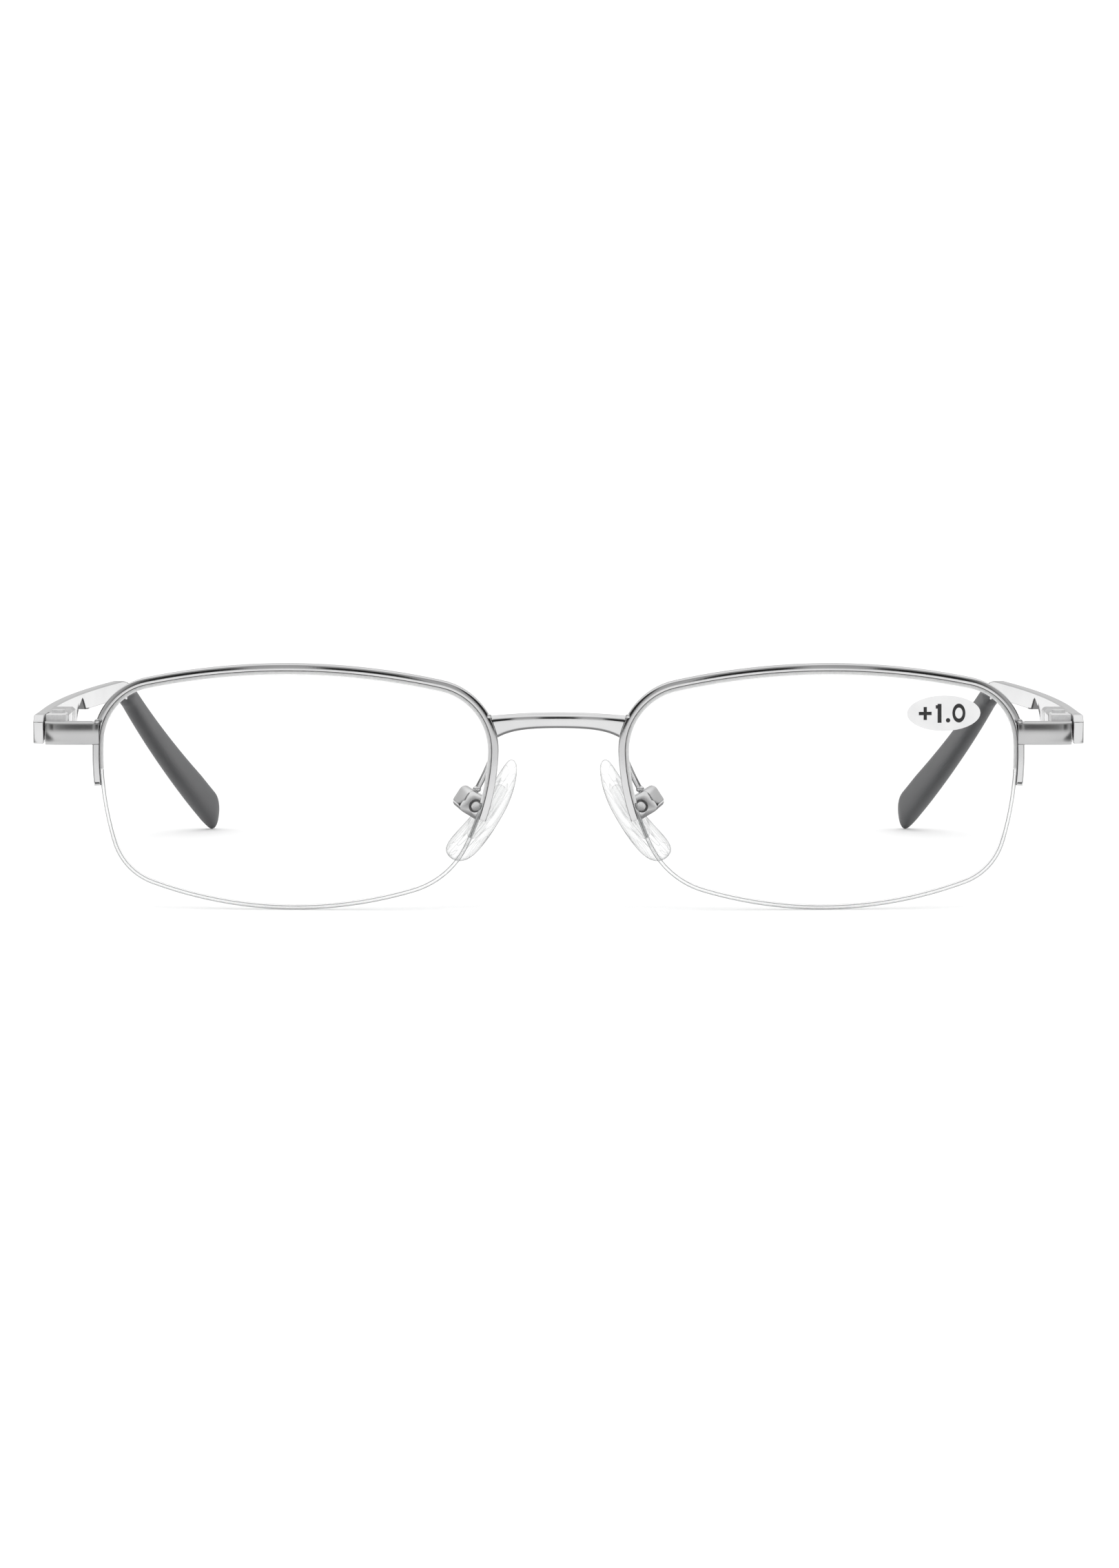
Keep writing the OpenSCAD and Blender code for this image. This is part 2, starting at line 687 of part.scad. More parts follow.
module temple_tip() {
    corners = 14;
    soft = 0.75;
    length = tip_end - tip_depth;
    last_full = tip_end - tip_end_run;
    straight = concat(steps_between(tip_depth, arc_end, 3), steps_between(arc_end + 2, last_full, 9));
    // The tip grows from its mouth. Its end is rounded, and its lower edge runs on to the ground
    function growth(d) = min(1, 1.25 * (d - tip_depth) / length);
    function grow(a, b, d) = a + (b - a) * growth(d);
    rings = concat(
        [for (d = straight)
            tip_ring(d, grow(tip_mouth_t, tip_t, d), -grow(tip_mouth_low, tip_low, d),
                grow(tip_mouth_h - tip_mouth_low, tip_h - tip_low, d), corners, soft)],
        [for (e = end_parts)
            tip_ring(tip_end - tip_end_run * (1 - e), tip_t * tip_share(e), -tip_low,
                tip_h * tip_share(e) - tip_low, corners, soft)]
    );
    slack = 0.06;
    core_line = concat(
        steps_between(tip_depth - 0.5, arc_end, 5),
        steps_between(arc_end + 1, core_end + 0.5, 9)
    );
    color("dimgray") difference() {
        skin(rings);
        skin([for (d = core_line) tip_box(d, core_t / 2 + slack, core_h / 2 + slack)]);
    }
}

function tip_box(depth, half_w, half_h) =
    let (a = slope(depth), b = bow_turn(depth))
    let (along = [-sin(b) * cos(a), cos(b) * cos(a), -sin(a)], side = [cos(b), sin(b), 0])
    let (up = cross(side, along), middle = place(mid_x(depth), depth, mid_z(depth)))
    [for (w = [[1, 1], [-1, 1], [-1, -1], [1, -1]]) middle + side * half_w * w[0] + up * half_h * w[1]];

// Nose pads
pad_x = nose_gap / 2 + pad_in;

// Their own x points to the nose, y to the rear and z up along the pad, from the pad screw.
function pad_turned(v) =
    let (x = v[0] * cos(pad_splay) - v[1] * sin(pad_splay))
    let (y = v[0] * sin(pad_splay) + v[1] * cos(pad_splay))
    [-(x * cos(pad_lean) + v[2] * sin(pad_lean)), y, v[2] * cos(pad_lean) - x * sin(pad_lean)];

module pad_place() {
    translate(place(pad_x, pad_at, pad_z)) mirror([1, 0, 0])
        rotate([0, pad_lean, 0]) rotate([0, 0, pad_splay]) children();
}

box_back = -1.9;
box_mouth = 1.3;
box_in_d = box_d - 2 * box_wall;

module pad_box() {
    r = 0.8;
    back = box_back + r;
    half = box_h / 2;
    turns = [0 : 15 : 90];
    sides = concat(
        [[box_mouth, half]],
        [for (a = turns) [back - r * sin(a), half - r + r * cos(a)]],
        [for (a = turns) [back - r * cos(a), -half + r - r * sin(a)]],
        [[box_mouth, -half]]
    );
    inner = half - box_wall + 0.05;
    recess_r = 0.85;
    color("silver") pad_place() difference() {
        rotate([90, 0, 0]) linear_extrude(box_d, center = true) polygon(sides);
        translate([box_back + 0.55, -box_in_d / 2, -inner]) cube([2 * box_h, box_in_d, 2 * inner]);
        rotate([90, 0, 0]) cylinder(r = pad_screw_r + 0.02, h = 2 * box_d, center = true);
        translate([0, -box_d / 2 + 0.15, 0]) rotate([90, 0, 0]) cylinder(r = recess_r, h = past);
    }
}

module pad_screw() {
    head_r = 0.62;
    head_t = 0.35;
    head_at = -box_d / 2 + 0.15;
    color("gray") pad_place() rotate([90, 0, 0]) {
        translate([0, 0, -box_d / 2]) cylinder(r = pad_screw_r, h = box_d / 2 - head_at);
        translate([0, 0, -head_at]) cylinder(r = head_r, h = head_t);
    }
}

plate_at = 2.2;
plate_t = 0.5;
plate_l = 8;
plate_w = 3.4;

module core_plate(out, t) {
    r = plate_w / 2 + out;
    reach = plate_l / 2 - plate_w / 2;
    rotate([0, 90, 0]) linear_extrude(t) {
        translate([reach, 0]) circle(r);
        translate([-reach, 0]) circle(r);
        square([2 * reach, 2 * r], center = true);
    }
}

module pad_core() {
    boss_w = box_in_d - 0.3;
    boss_h = 1.6;
    color("white", 0.6) pad_place() difference() {
        union() {
            translate([-0.95, -boss_w / 2, -boss_h / 2]) cube([plate_at + 1, boss_w, boss_h]);
            translate([plate_at, 0, 0]) core_plate(0, plate_t);
        }
        rotate([90, 0, 0]) cylinder(r = pad_screw_r + run_gap, h = 2 * box_d, center = true);
    }
}

module nose_pad() {
    stations = 14;
    corners = 12;
    curve_r = 24;
    half = pad_length / 2;
    middle = plate_at + plate_t / 2 + 0.45;
    // The pad is widest below its middle and narrows to its upper end
    rings = [for (k = [0 : stations])
        let (t = -0.985 + 1.97 * k / stations, z = half * t)
        let (full = pow(1 - pow(abs(t), 3), 0.6), w = pad_w / 2 * (0.86 - 0.16 * t) * full)
        let (thick = pad_t / 2 * (0.45 + 0.55 * full), x = middle - z * z / (2 * curve_r))
        [for (i = [0 : corners - 1])
            let (a = -360 * (i + 0.5) / corners)
            [x + thick * cos(a), w * sin(a), z]]];
    color("white", 0.3) pad_place() difference() {
        skin(rings);
        translate([-past, 0, 0]) core_plate(fit_gap, plate_at + plate_t + past + 0.02);
    }
}

module pad_arm() {
    steps = 14;
    sides = 8;
    root_z = lens_z + 4.4;
    root_out = lens_a / 2 + rim_w / 2;
    root_depth = dome_depth([root_out + wire_r, 4.4], rim_d - rim_proud) + 0.02;
    seat = [-0.6, -0.3, box_h / 2 + 0.03];
    a = place(lens_x - root_out, root_depth, root_z);
    d = place(pad_x, pad_at, pad_z) + pad_turned(seat);
    b = a + [0, 4.2, 0.9];
    c = d + pad_turned([0, 0, 2.6]);
    function way(t) =
        pow(1 - t, 3) * a + 3 * pow(1 - t, 2) * t * b + 3 * (1 - t) * t * t * c + t * t * t * d;
    function heading(t) =
        let (v = pow(1 - t, 2) * (b - a) + 2 * (1 - t) * t * (c - b) + t * t * (d - c)) v / norm(v);
    rings = [for (k = [0 : steps])
        let (t = k / steps, h = heading(t))
        let (across = cross(h, [1, 0, 0]), u = across / norm(across), v = cross(h, u))
        [for (w = [sides : -1 : 1])
            let (turn = w * 360 / sides)
            way(t) + wire_r * (u * cos(turn) + v * sin(turn))]];
    color("silver") skin(rings);
}

module power_sticker() {
    lift = 0.01;
    film = 0.08;
    sticker_x = lens_x + lens_a / 2 - sticker_in;
    sticker_z = lens_z + lens_b / 2 - sticker_drop;
    oval = [for (a = [0 : 10 : 350]) [sticker_w / 2 * cos(a), sticker_h / 2 * sin(a)]];
    color("white") difference() {
        intersection() {
            translate([sticker_x, 0, sticker_z]) rotate([90, 0, 0])
                linear_extrude(2 * dome_r, center = true) polygon(oval);
            dome(-lift - film);
            translate(place(sticker_x, 0, sticker_z)) cube(2 * sticker_w, center = true);
        }
        dome(-lift);
    }
}

bridge();
left() rim();  // left_rim
right() rim();  // right_rim
left() rim_liner();  // left_rim_liner
right() rim_liner();  // right_rim_liner
left() lens();  // left_lens
right() lens();  // right_lens
left() nylon_cord();  // left_nylon_cord
right() nylon_cord();  // right_nylon_cord
power_sticker();
left() endpiece();  // left_endpiece
right() endpiece();  // right_endpiece
left() front_hinge();  // left_front_hinge
right() front_hinge();  // right_front_hinge
left() hinge_screw();  // left_hinge_screw
right() hinge_screw();  // right_hinge_screw
left() hinge_slider();  // left_hinge_slider
right() hinge_slider();  // right_hinge_slider
left() slider_stop();  // left_slider_stop
right() slider_stop();  // right_slider_stop
left() hinge_spring();  // left_hinge_spring
right() hinge_spring();  // right_hinge_spring
left() hinge_bushing();  // left_hinge_bushing
right() hinge_bushing();  // right_hinge_bushing
left() spring_case();  // left_spring_case
right() spring_case();  // right_spring_case
left() temple_bar();  // left_temple_bar
right() temple_bar();  // right_temple_bar
left() temple_tip();  // left_temple_tip
right() temple_tip();  // right_temple_tip
left() pad_arm();  // left_pad_arm
right() pad_arm();  // right_pad_arm
left() pad_box();  // left_pad_box
right() pad_box();  // right_pad_box
left() pad_screw();  // left_pad_screw
right() pad_screw();  // right_pad_screw
left() pad_core();  // left_pad_core
right() pad_core();  // right_pad_core
left() nose_pad();  // left_nose_pad
right() nose_pad();  // right_nose_pad
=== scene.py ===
"""Half rim reading glasses that stand open: polished metal, clear lenses, dark temple tips."""
import math

import bmesh
import bpy
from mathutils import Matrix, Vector


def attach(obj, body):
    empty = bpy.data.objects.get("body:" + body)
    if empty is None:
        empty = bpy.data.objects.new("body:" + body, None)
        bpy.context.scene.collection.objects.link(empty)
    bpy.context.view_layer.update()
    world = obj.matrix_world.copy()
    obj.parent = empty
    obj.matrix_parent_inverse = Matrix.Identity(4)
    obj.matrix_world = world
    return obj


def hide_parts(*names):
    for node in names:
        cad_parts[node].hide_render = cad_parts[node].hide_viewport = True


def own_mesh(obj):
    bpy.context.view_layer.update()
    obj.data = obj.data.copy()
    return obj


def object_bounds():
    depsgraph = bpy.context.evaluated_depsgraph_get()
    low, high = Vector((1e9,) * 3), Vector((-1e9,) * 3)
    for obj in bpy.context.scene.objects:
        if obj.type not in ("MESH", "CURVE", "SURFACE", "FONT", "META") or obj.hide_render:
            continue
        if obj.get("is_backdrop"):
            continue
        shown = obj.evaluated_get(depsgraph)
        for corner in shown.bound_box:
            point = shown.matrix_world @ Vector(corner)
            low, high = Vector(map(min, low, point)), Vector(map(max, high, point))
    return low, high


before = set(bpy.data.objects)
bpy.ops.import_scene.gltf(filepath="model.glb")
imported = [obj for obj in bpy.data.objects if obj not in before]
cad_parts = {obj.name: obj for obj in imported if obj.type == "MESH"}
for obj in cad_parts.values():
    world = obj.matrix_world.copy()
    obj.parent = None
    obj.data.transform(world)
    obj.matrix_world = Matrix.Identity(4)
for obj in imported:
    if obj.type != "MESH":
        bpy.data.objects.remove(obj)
cad_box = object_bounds()

# Sizes in millimetres, the same as in the solid model
LENS_A, LENS_B, NOSE_GAP = 50.2, 30.4, 17.1
SIDE_R = (30, 88, 40, 55)
CORNER_R = (8.2, 7.6, 7.8, 11)
OUTER_APEX, NOSE_APEX, TOP_APEX, LOW_APEX = 4.6, 6.1, -0.7, -0.3
DOME_R, DOME_SHIFT = 110, 8
RIM_W, RIM_D, RIM_PROUD, CHANNEL = 0.95, 2.2, 0.35, 0.45
GROOVE_AT, GROOVE_W, GROOVE_DEPTH = 0.72, 0.55, 0.5
NOSE_LEG, OUTER_LEG = -19, 186
CORD_D, CORD_PROUD, CORD_TUCK = 0.5, 0.1, 2
BRIDGE_Z, BRIDGE_H, BRIDGE_END_H, BRIDGE_DROP, BRIDGE_D = 23.25, 2, 2.75, 0.5, 1.8
FRONT_W, ARM_AT, ARM_T, ARM_Z, ARM_H = 134.4, 4.3, 1.7, 20.9, 3
TONGUE_T, CORNER_T, ARM_GROOVE, ARM_BOW = 0.55, 1.5, 0.35, 0.02
HINGE_IN, HINGE_AT, HINGE_H, FLEX = 2.8, 10.6, 3.4, 8
BUTT_AT, TEMPLE_TOP, PLATE_H, BAR_H, TEMPLE_T = 0.6, 24.7, 3.7, 2.5, 1.3
TEMPLE_LENGTH, BEND_AT, BEND_R, BOW_R, BOW_AT = 135, 81.7, 22, 472, 11.4
CUT_AT, CUT_RUN, CUT_LEFT, CORE_H, CORE_T = 40.6, 5.4, 0.8, 1.5, 0.9
CASE_AT, ROD_R, ROD_LENGTH, STOP_T, BUSHING_T = 1.6, 0.45, 8, 0.8, 1.2
TIP_AT, TIP_MOUTH_H, TIP_MOUTH_LOW, TIP_MOUTH_T = 0.7, 3, 1.7, 2.3
TIP_H, TIP_LOW, TIP_T = 4.9, 2, 2.8
TIP_END_RUN, TIP_END_SHARE, TIP_OPENING = 3, 0.4, 3
PAD_X, PAD_AT, PAD_Z, PAD_LEAN, PAD_SPLAY = 11.15, 8.5, 13.2, 33, 25
PAD_LENGTH, PAD_W, PAD_T, BOX_H, WIRE_R = 15, 7.4, 1.9, 3, 0.38
STICKER_X, STICKER_Z = 49.2, 25.05
FIT = 0.03

LENS_X = (LENS_A + NOSE_GAP) / 2
LENS_Z = CORD_PROUD + LENS_B / 2
OUTER_X = FRONT_W / 2
HINGE_X = OUTER_X - HINGE_IN
HINGE_Z = TEMPLE_TOP - HINGE_H / 2
BAR_Z = TEMPLE_TOP - BAR_H / 2
EAR_LENGTH = TEMPLE_LENGTH - BEND_AT
EAR = math.asin(BAR_Z / math.hypot(EAR_LENGTH, TIP_LOW)) - math.atan2(TIP_LOW, EAR_LENGTH)
BEND_DEPTH = HINGE_AT + BEND_AT
TIP_END = BEND_DEPTH + EAR_LENGTH * math.cos(EAR)
FRONT_Y = -70.6148
SIDES = (("right", False), ("left", True))


def place(x, depth, z):
    """A point by its height and its depth behind the foremost point."""
    return Vector((x, FRONT_Y + depth, z))


def steps(a, b, count):
    return [a + (b - a) * k / count for k in range(count + 1)]


def turns(count, phase=0):
    """Angles evenly round a circle."""
    return [math.tau * (k + phase) / count for k in range(count)]


def quarter(count):
    """The cosine and sine of angles from 0 to 90 degrees."""
    return [(math.cos(a), math.sin(a)) for a in steps(0, math.pi / 2, count)]


def squared(v, power):
    """A sine or cosine, changed so that its circle becomes squarer."""
    return math.copysign(abs(v) ** power, v)


# Outline of the lens: four long arcs in the order nose, top, outer, low, and four corners
SIDE_C = [
    Vector((LENS_A / 2 - SIDE_R[0], NOSE_APEX)),
    Vector((TOP_APEX, LENS_B / 2 - SIDE_R[1])),
    Vector((SIDE_R[2] - LENS_A / 2, OUTER_APEX)),
    Vector((LOW_APEX, SIDE_R[3] - LENS_B / 2)),
]


def corner_centre(i):
    """Centre of the corner arc that touches the long arcs i and i + 1."""
    j = (i + 1) % 4
    ra, rb = SIDE_R[i] - CORNER_R[i], SIDE_R[j] - CORNER_R[i]
    way = SIDE_C[j] - SIDE_C[i]
    d = way.length
    u = way / d
    t = (ra * ra - rb * rb + d * d) / (2 * d)
    return SIDE_C[i] + u * t + Vector((-u.y, u.x)) * math.sqrt(ra * ra - t * t)


CORNER_C = [corner_centre(i) for i in range(4)]


def turn_of(v):
    return math.degrees(math.atan2(v.y, v.x))


def turn_after(a, b):
    """The angle b, a full turn later where it lies before a."""
    return b + 360 if b < a else b


def side_start(i):
    """The angle at which a long arc starts."""
    return turn_of(CORNER_C[(i + 3) % 4] - SIDE_C[i])


def side_end(i):
    """The angle at which a long arc ends."""
    return turn_after(side_start(i), turn_of(CORNER_C[i] - SIDE_C[i]))


def arc(centre, radius, a0, a1):
    """Points along an arc, without its last, each with its outward direction."""
    gap = 0.5
    count = max(2, round(abs(math.radians(a1 - a0)) * radius / gap))
    out = []
    for k in range(count):
        a = math.radians(a0 + (a1 - a0) * k / count)
        n = Vector((math.cos(a), math.sin(a)))
        out.append((centre + radius * n, n))
    return out


def side_arc(i, a0, a1):
    return arc(SIDE_C[i], SIDE_R[i], a0, a1)


def corner_arc(i):
    a0 = turn_of(CORNER_C[i] - SIDE_C[i])
    a1 = turn_after(a0, turn_of(CORNER_C[i] - SIDE_C[(i + 1) % 4]))
    return arc(CORNER_C[i], CORNER_R[i], a0, a1)


def last_point(i, a):
    """The point of a long arc at an angle, as a path's last entry."""
    n = Vector((math.cos(math.radians(a)), math.sin(math.radians(a))))
    return [(SIDE_C[i] + SIDE_R[i] * n, n)]


def turn_for(i, length):
    """The angle that a length takes up on a long arc."""
    return math.degrees(length / SIDE_R[i])


def upper_path(shorter=0):
    """The stretch of the outline under the rim, from the nose leg's end to the outer leg's end."""
    a0 = NOSE_LEG + turn_for(0, shorter)
    a1 = OUTER_LEG - turn_for(2, shorter)
    return (
        side_arc(0, a0, side_end(0)) + corner_arc(0)
        + side_arc(1, side_start(1), side_end(1)) + corner_arc(1)
        + side_arc(2, turn_after(0, side_start(2)), a1) + last_point(2, a1)
    )


def lower_path(longer):
    """The stretch of the outline under the cord, with a length at each end that lies in the rim."""
    a0 = OUTER_LEG - turn_for(2, longer)
    a1 = NOSE_LEG + turn_for(0, longer)
    return (
        side_arc(2, a0, turn_after(a0, turn_of(CORNER_C[2] - SIDE_C[2]))) + corner_arc(2)
        + side_arc(3, side_start(3), side_end(3)) + corner_arc(3)
        + side_arc(0, side_start(0), a1) + last_point(0, a1)
    )


def dome_depth(p, behind):
    """Depth of the surface that lies behind the lens's front surface, at a point of the lens plane."""
    return DOME_R - math.sqrt((DOME_R - behind) ** 2 - (p.x - DOME_SHIFT) ** 2 - p.y ** 2)


def lens_place(p, behind):
    return place(LENS_X - p.x, dome_depth(p, behind), LENS_Z + p.y)


def nose_reach(y, out):
    """How far the rim's outer face reaches towards the nose at a height over the lens centre."""
    c, r = CORNER_C[0], CORNER_R[0]
    if y > c.y:
        return c.x + math.sqrt((r + out) ** 2 - (y - c.y) ** 2)
    return SIDE_C[0].x + math.sqrt((SIDE_R[0] + out) ** 2 - (y - NOSE_APEX) ** 2)


# Mesh helpers, all in millimetres until a piece is finished
def once(items):
    """The items, each once and in their first order."""
    return list(dict.fromkeys(items))


def tube(bm, rings):
    """Rolls a grid into a tube through the rings and closes its ends."""
    n, m = len(rings[0]), len(rings)
    before = set(bm.verts)
    sheet = bmesh.ops.create_grid(bm, x_segments=n, y_segments=m - 1, size=1)["verts"]
    for v in sheet:
        i = round((v.co.x + 1) / 2 * n) % n
        k = round((v.co.y + 1) / 2 * (m - 1))
        v.co = rings[k][i]
    bmesh.ops.remove_doubles(bm, verts=sheet, dist=1e-5)
    made = [v for v in bm.verts if v not in before]
    end_edges = once(e for v in made for e in v.link_edges if e.is_boundary)
    bmesh.ops.holes_fill(bm, edges=end_edges, sides=0)
    bmesh.ops.recalc_face_normals(bm, faces=once(f for v in made for f in v.link_faces))


def edge_strip(path, section):
    """Rings along the lens edge from a section of (outward, behind the front surface)."""
    return [[lens_place(p + s * n, g) for s, g in section] for p, n in path]


def sharp_edges(edges):
    """The edges between two faces that meet at a clear angle."""
    limit = math.radians(25)
    return [e for e in edges if len(e.link_faces) == 2 and e.calc_face_angle(0) > limit]


def bevelled(bm, edges, width, segments=3):
    bmesh.ops.bevel(bm, geom=edges, offset=width, offset_type="OFFSET", segments=segments,
                    profile=0.5, affect="EDGES", clamp_overlap=True, material=-1)


def ball(bm, centre, radius, squeeze=(1, 1, 1)):
    made = bmesh.ops.create_uvsphere(bm, u_segments=24, v_segments=16, radius=radius)["verts"]
    bmesh.ops.scale(bm, vec=squeeze, verts=made)
    bmesh.ops.translate(bm, vec=centre, verts=made)


def give_second(bm, within):
    """Gives the piece's second material to the faces whose corners all pass a test."""
    for f in bm.faces:
        if all(within(v.co) for v in f.verts):
            f.material_index = 1


def add(name, data):
    """A new object in the scene."""
    obj = bpy.data.objects.new(name, data)
    bpy.context.scene.collection.objects.link(obj)
    return obj


def mesh_of(name, bm):
    mesh = bpy.data.meshes.new(name)
    bm.to_mesh(mesh)
    bm.free()
    return mesh


def piece(bm, name, body, materials, nodes=(), mirrored=False, sharp=40, smooth=True):
    """Turns a mesh in millimetres into a finished piece that rides on a body."""
    bmesh.ops.scale(bm, vec=Vector((-0.001 if mirrored else 0.001, 0.001, 0.001)), verts=bm.verts)
    if mirrored:
        bmesh.ops.reverse_faces(bm, faces=bm.faces)
    for f in bm.faces:
        f.smooth = smooth
    for e in bm.edges:
        e.smooth = len(e.link_faces) != 2 or e.calc_face_angle(0) < math.radians(sharp)
    mesh = mesh_of(name, bm)
    obj = add(name, mesh)
    for material in materials:
        mesh.materials.append(material)
    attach(obj, body)
    if nodes:
        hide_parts(*nodes)
    return obj


def rounded_copy(node, width, segments=3):
    """A copy of a solid's mesh, in millimetres, with its flat faces made whole and its edges rounded."""
    bm = bmesh.new()
    bm.from_mesh(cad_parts[node].data)
    bmesh.ops.scale(bm, vec=Vector((1000, 1000, 1000)), verts=bm.verts)
    bmesh.ops.remove_doubles(bm, verts=bm.verts, dist=1e-4)
    bmesh.ops.dissolve_limit(bm, angle_limit=math.radians(1), verts=bm.verts, edges=bm.edges)
    bevelled(bm, sharp_edges(bm.edges), width, segments)
    return bm


# Materials
class Signal:
    """A socket's value in an expression. Each operator adds its Math node."""

    def __init__(self, nodes, socket):
        self.nodes, self.socket = nodes, socket

    def maths(self, operation, a, b):
        made = self.nodes.node("ShaderNodeMath", {"operation": operation}, {0: a, 1: b})
        return Signal(self.nodes, made.outputs[0])

    def __add__(self, other):
        return self.maths("ADD", self, other)

    __radd__ = __add__

    def __sub__(self, other):
        return self.maths("SUBTRACT", self, other)

    def __rsub__(self, other):
        return self.maths("SUBTRACT", other, self)

    def __mul__(self, other):
        return self.maths("MULTIPLY", self, other)

    __rmul__ = __mul__

    def __pow__(self, other):
        return self.maths("POWER", self, other)


class Nodes:
    """A node tree that is filled by Python expressions."""

    def __init__(self, tree):
        self.tree = tree

    def feed(self, socket, value):
        if isinstance(value, Signal):
            self.tree.links.new(value.socket, socket)
        else:
            socket.default_value = value

    def node(self, kind, settings=None, inputs=None):
        made = self.tree.nodes.new(kind)
        for key, value in (settings or {}).items():
            if key == "stops":
                ramp = made.color_ramp
                while len(ramp.elements) < len(value):
                    ramp.elements.new(0.5)
                for element, (at, colour) in zip(ramp.elements, value):
                    element.position = at
                    element.color = (*colour, 1)
            else:
                setattr(made, key, value)
        for key, value in (inputs or {}).items():
            self.feed(made.inputs[key], value)
        return made

    def signal(self, kind, settings=None, inputs=None, output=0):
        return Signal(self, self.node(kind, settings, inputs).outputs[output])

    def absolute(self, value):
        return self.signal("ShaderNodeMath", {"operation": "ABSOLUTE"}, {0: value})

    def smooth(self, value, start, end):
        """A soft step from 0 at the start to 1 at the end."""
        return self.signal("ShaderNodeMapRange", {"interpolation_type": "SMOOTHSTEP"},
                           {"Value": value, "From Min": start, "From Max": end})

    def flags(self, beside):
        """1 in the sideways directions of the dark flags at both sides of the studio."""
        return self.smooth(beside, 0.76, 0.82) * (1 - self.smooth(beside, 0.93, 0.97))

    def ramp(self, value, stops):
        """A grey that follows stops of (value, grey)."""
        greys = [(at, (v, v, v)) for at, v in stops]
        return self.signal("ShaderNodeValToRGB", {"stops": greys}, {"Fac": value})


class Finish(Nodes):
    """One material with a Principled surface."""

    def __init__(self, name, **constants):
        self.material = bpy.data.materials.new(name)
        self.material.use_nodes = True
        super().__init__(self.material.node_tree)
        self.surface = self.tree.nodes["Principled BSDF"]
        self.set(**constants)
        self.where = self.signal("ShaderNodeTexCoord", output="Object")

    def facing(self):
        """0 where the surface faces the viewer, 1 at its outline."""
        return self.signal("ShaderNodeLayerWeight", None, {"Blend": 0.5}, output="Facing")

    def stretched(self, scale):
        return self.signal("ShaderNodeMapping", None, {"Vector": self.where, "Scale": scale})

    def noise(self, scale, detail=3, where=None):
        inputs = {"Vector": where or self.where, "Scale": scale, "Detail": detail}
        return self.signal("ShaderNodeTexNoise", None, inputs)

    def colour(self, factor, low, high):
        return self.signal("ShaderNodeValToRGB", {"stops": [(0.3, low), (0.7, high)]}, {"Fac": factor})

    def bump(self, height, strength, distance):
        inputs = {"Height": height, "Strength": strength, "Distance": distance}
        return self.signal("ShaderNodeBump", None, inputs)

    def set(self, **values):
        for key, value in values.items():
            self.feed(self.surface.inputs[key.replace("_", " ")], value)
        return self.material


def buffed_metal(name, low, high, roughness, clouding, relief):
    """Metal with faint clouds and hairlines along the temples."""
    f = Finish(name, Metallic=1.0)
    cloud = f.noise(140, 2)
    hairlines = f.noise(900, 2, f.stretched((6, 1, 6)))
    return f.set(
        Base_Color=f.colour(cloud, low, high),
        Roughness=roughness + cloud * clouding + hairlines * 0.03,
        Normal=f.bump(hairlines, relief, 0.00002),
    )


def blasted_metal():
    f = Finish("blasted_metal", Metallic=1.0)
    grain = f.noise(4000, 2)
    return f.set(
        Base_Color=f.colour(grain, (0.82, 0.82, 0.825), (0.9, 0.9, 0.9)),
        Roughness=0.42 + grain * 0.15,
        Normal=f.bump(grain, 0.12, 0.00002),
    )


def turned_steel():
    f = Finish("turned_steel", Metallic=1.0)
    lines = f.noise(1500, 2, f.stretched((1, 8, 1)))
    return f.set(
        Base_Color=f.colour(lines, (0.64, 0.64, 0.645), (0.74, 0.74, 0.74)),
        Roughness=0.2 + lines * 0.18,
        Normal=f.bump(lines, 0.12, 0.00003),
    )


def dark_metal_and_shade():
    """Dark metal for the bushing, and painted shade for the rims' gap lines, the temples' lower edges and the
    pad boxes' dishes.
    """
    f = Finish("dark_metal_and_shade", Metallic=0.9)
    mottle = f.noise(1800, 3)
    return f.set(
        Base_Color=f.colour(mottle, (0.1, 0.1, 0.102), (0.22, 0.22, 0.22)),
        Roughness=0.35 + mottle * 0.25,
        Normal=f.bump(mottle, 0.1, 0.00003),
    )


def clear_lens():
    f = Finish("clear_lens", Roughness=0.02, IOR=1.5)
    facing = f.facing()
    dust = f.noise(300, 2)
    return f.set(
        Base_Color=f.colour(dust, (0.5, 0.51, 0.51), (0.58, 0.59, 0.59)),
        # The grey base shows most at the outline, where the alpha rises: painted dark refraction lines along
        # the lens edges.
        Alpha=0.012 + dust * 0.008 + facing ** 3 * 0.9,
    )


def clear_cord():
    f = Finish("clear_cord", Roughness=0.12, IOR=1.5)
    facing = f.facing()
    grain = f.noise(2500, 2)
    return f.set(
        # Darker and more opaque towards the outline: painted dark refraction lines along the cord's edges.
        Base_Color=f.colour(facing * 1.9, (0.9, 0.91, 0.91), (0.25, 0.26, 0.26)),
        Alpha=0.08 + facing * 1.5,
        Normal=f.bump(grain, 0.05, 0.00002),
    )


def white_liner():
    f = Finish("white_liner", Roughness=0.4)
    grain = f.noise(2500, 2)
    return f.set(
        Base_Color=f.colour(grain, (0.88, 0.88, 0.88), (0.96, 0.96, 0.955)),
        Normal=f.bump(grain, 0.1, 0.00003),
    )


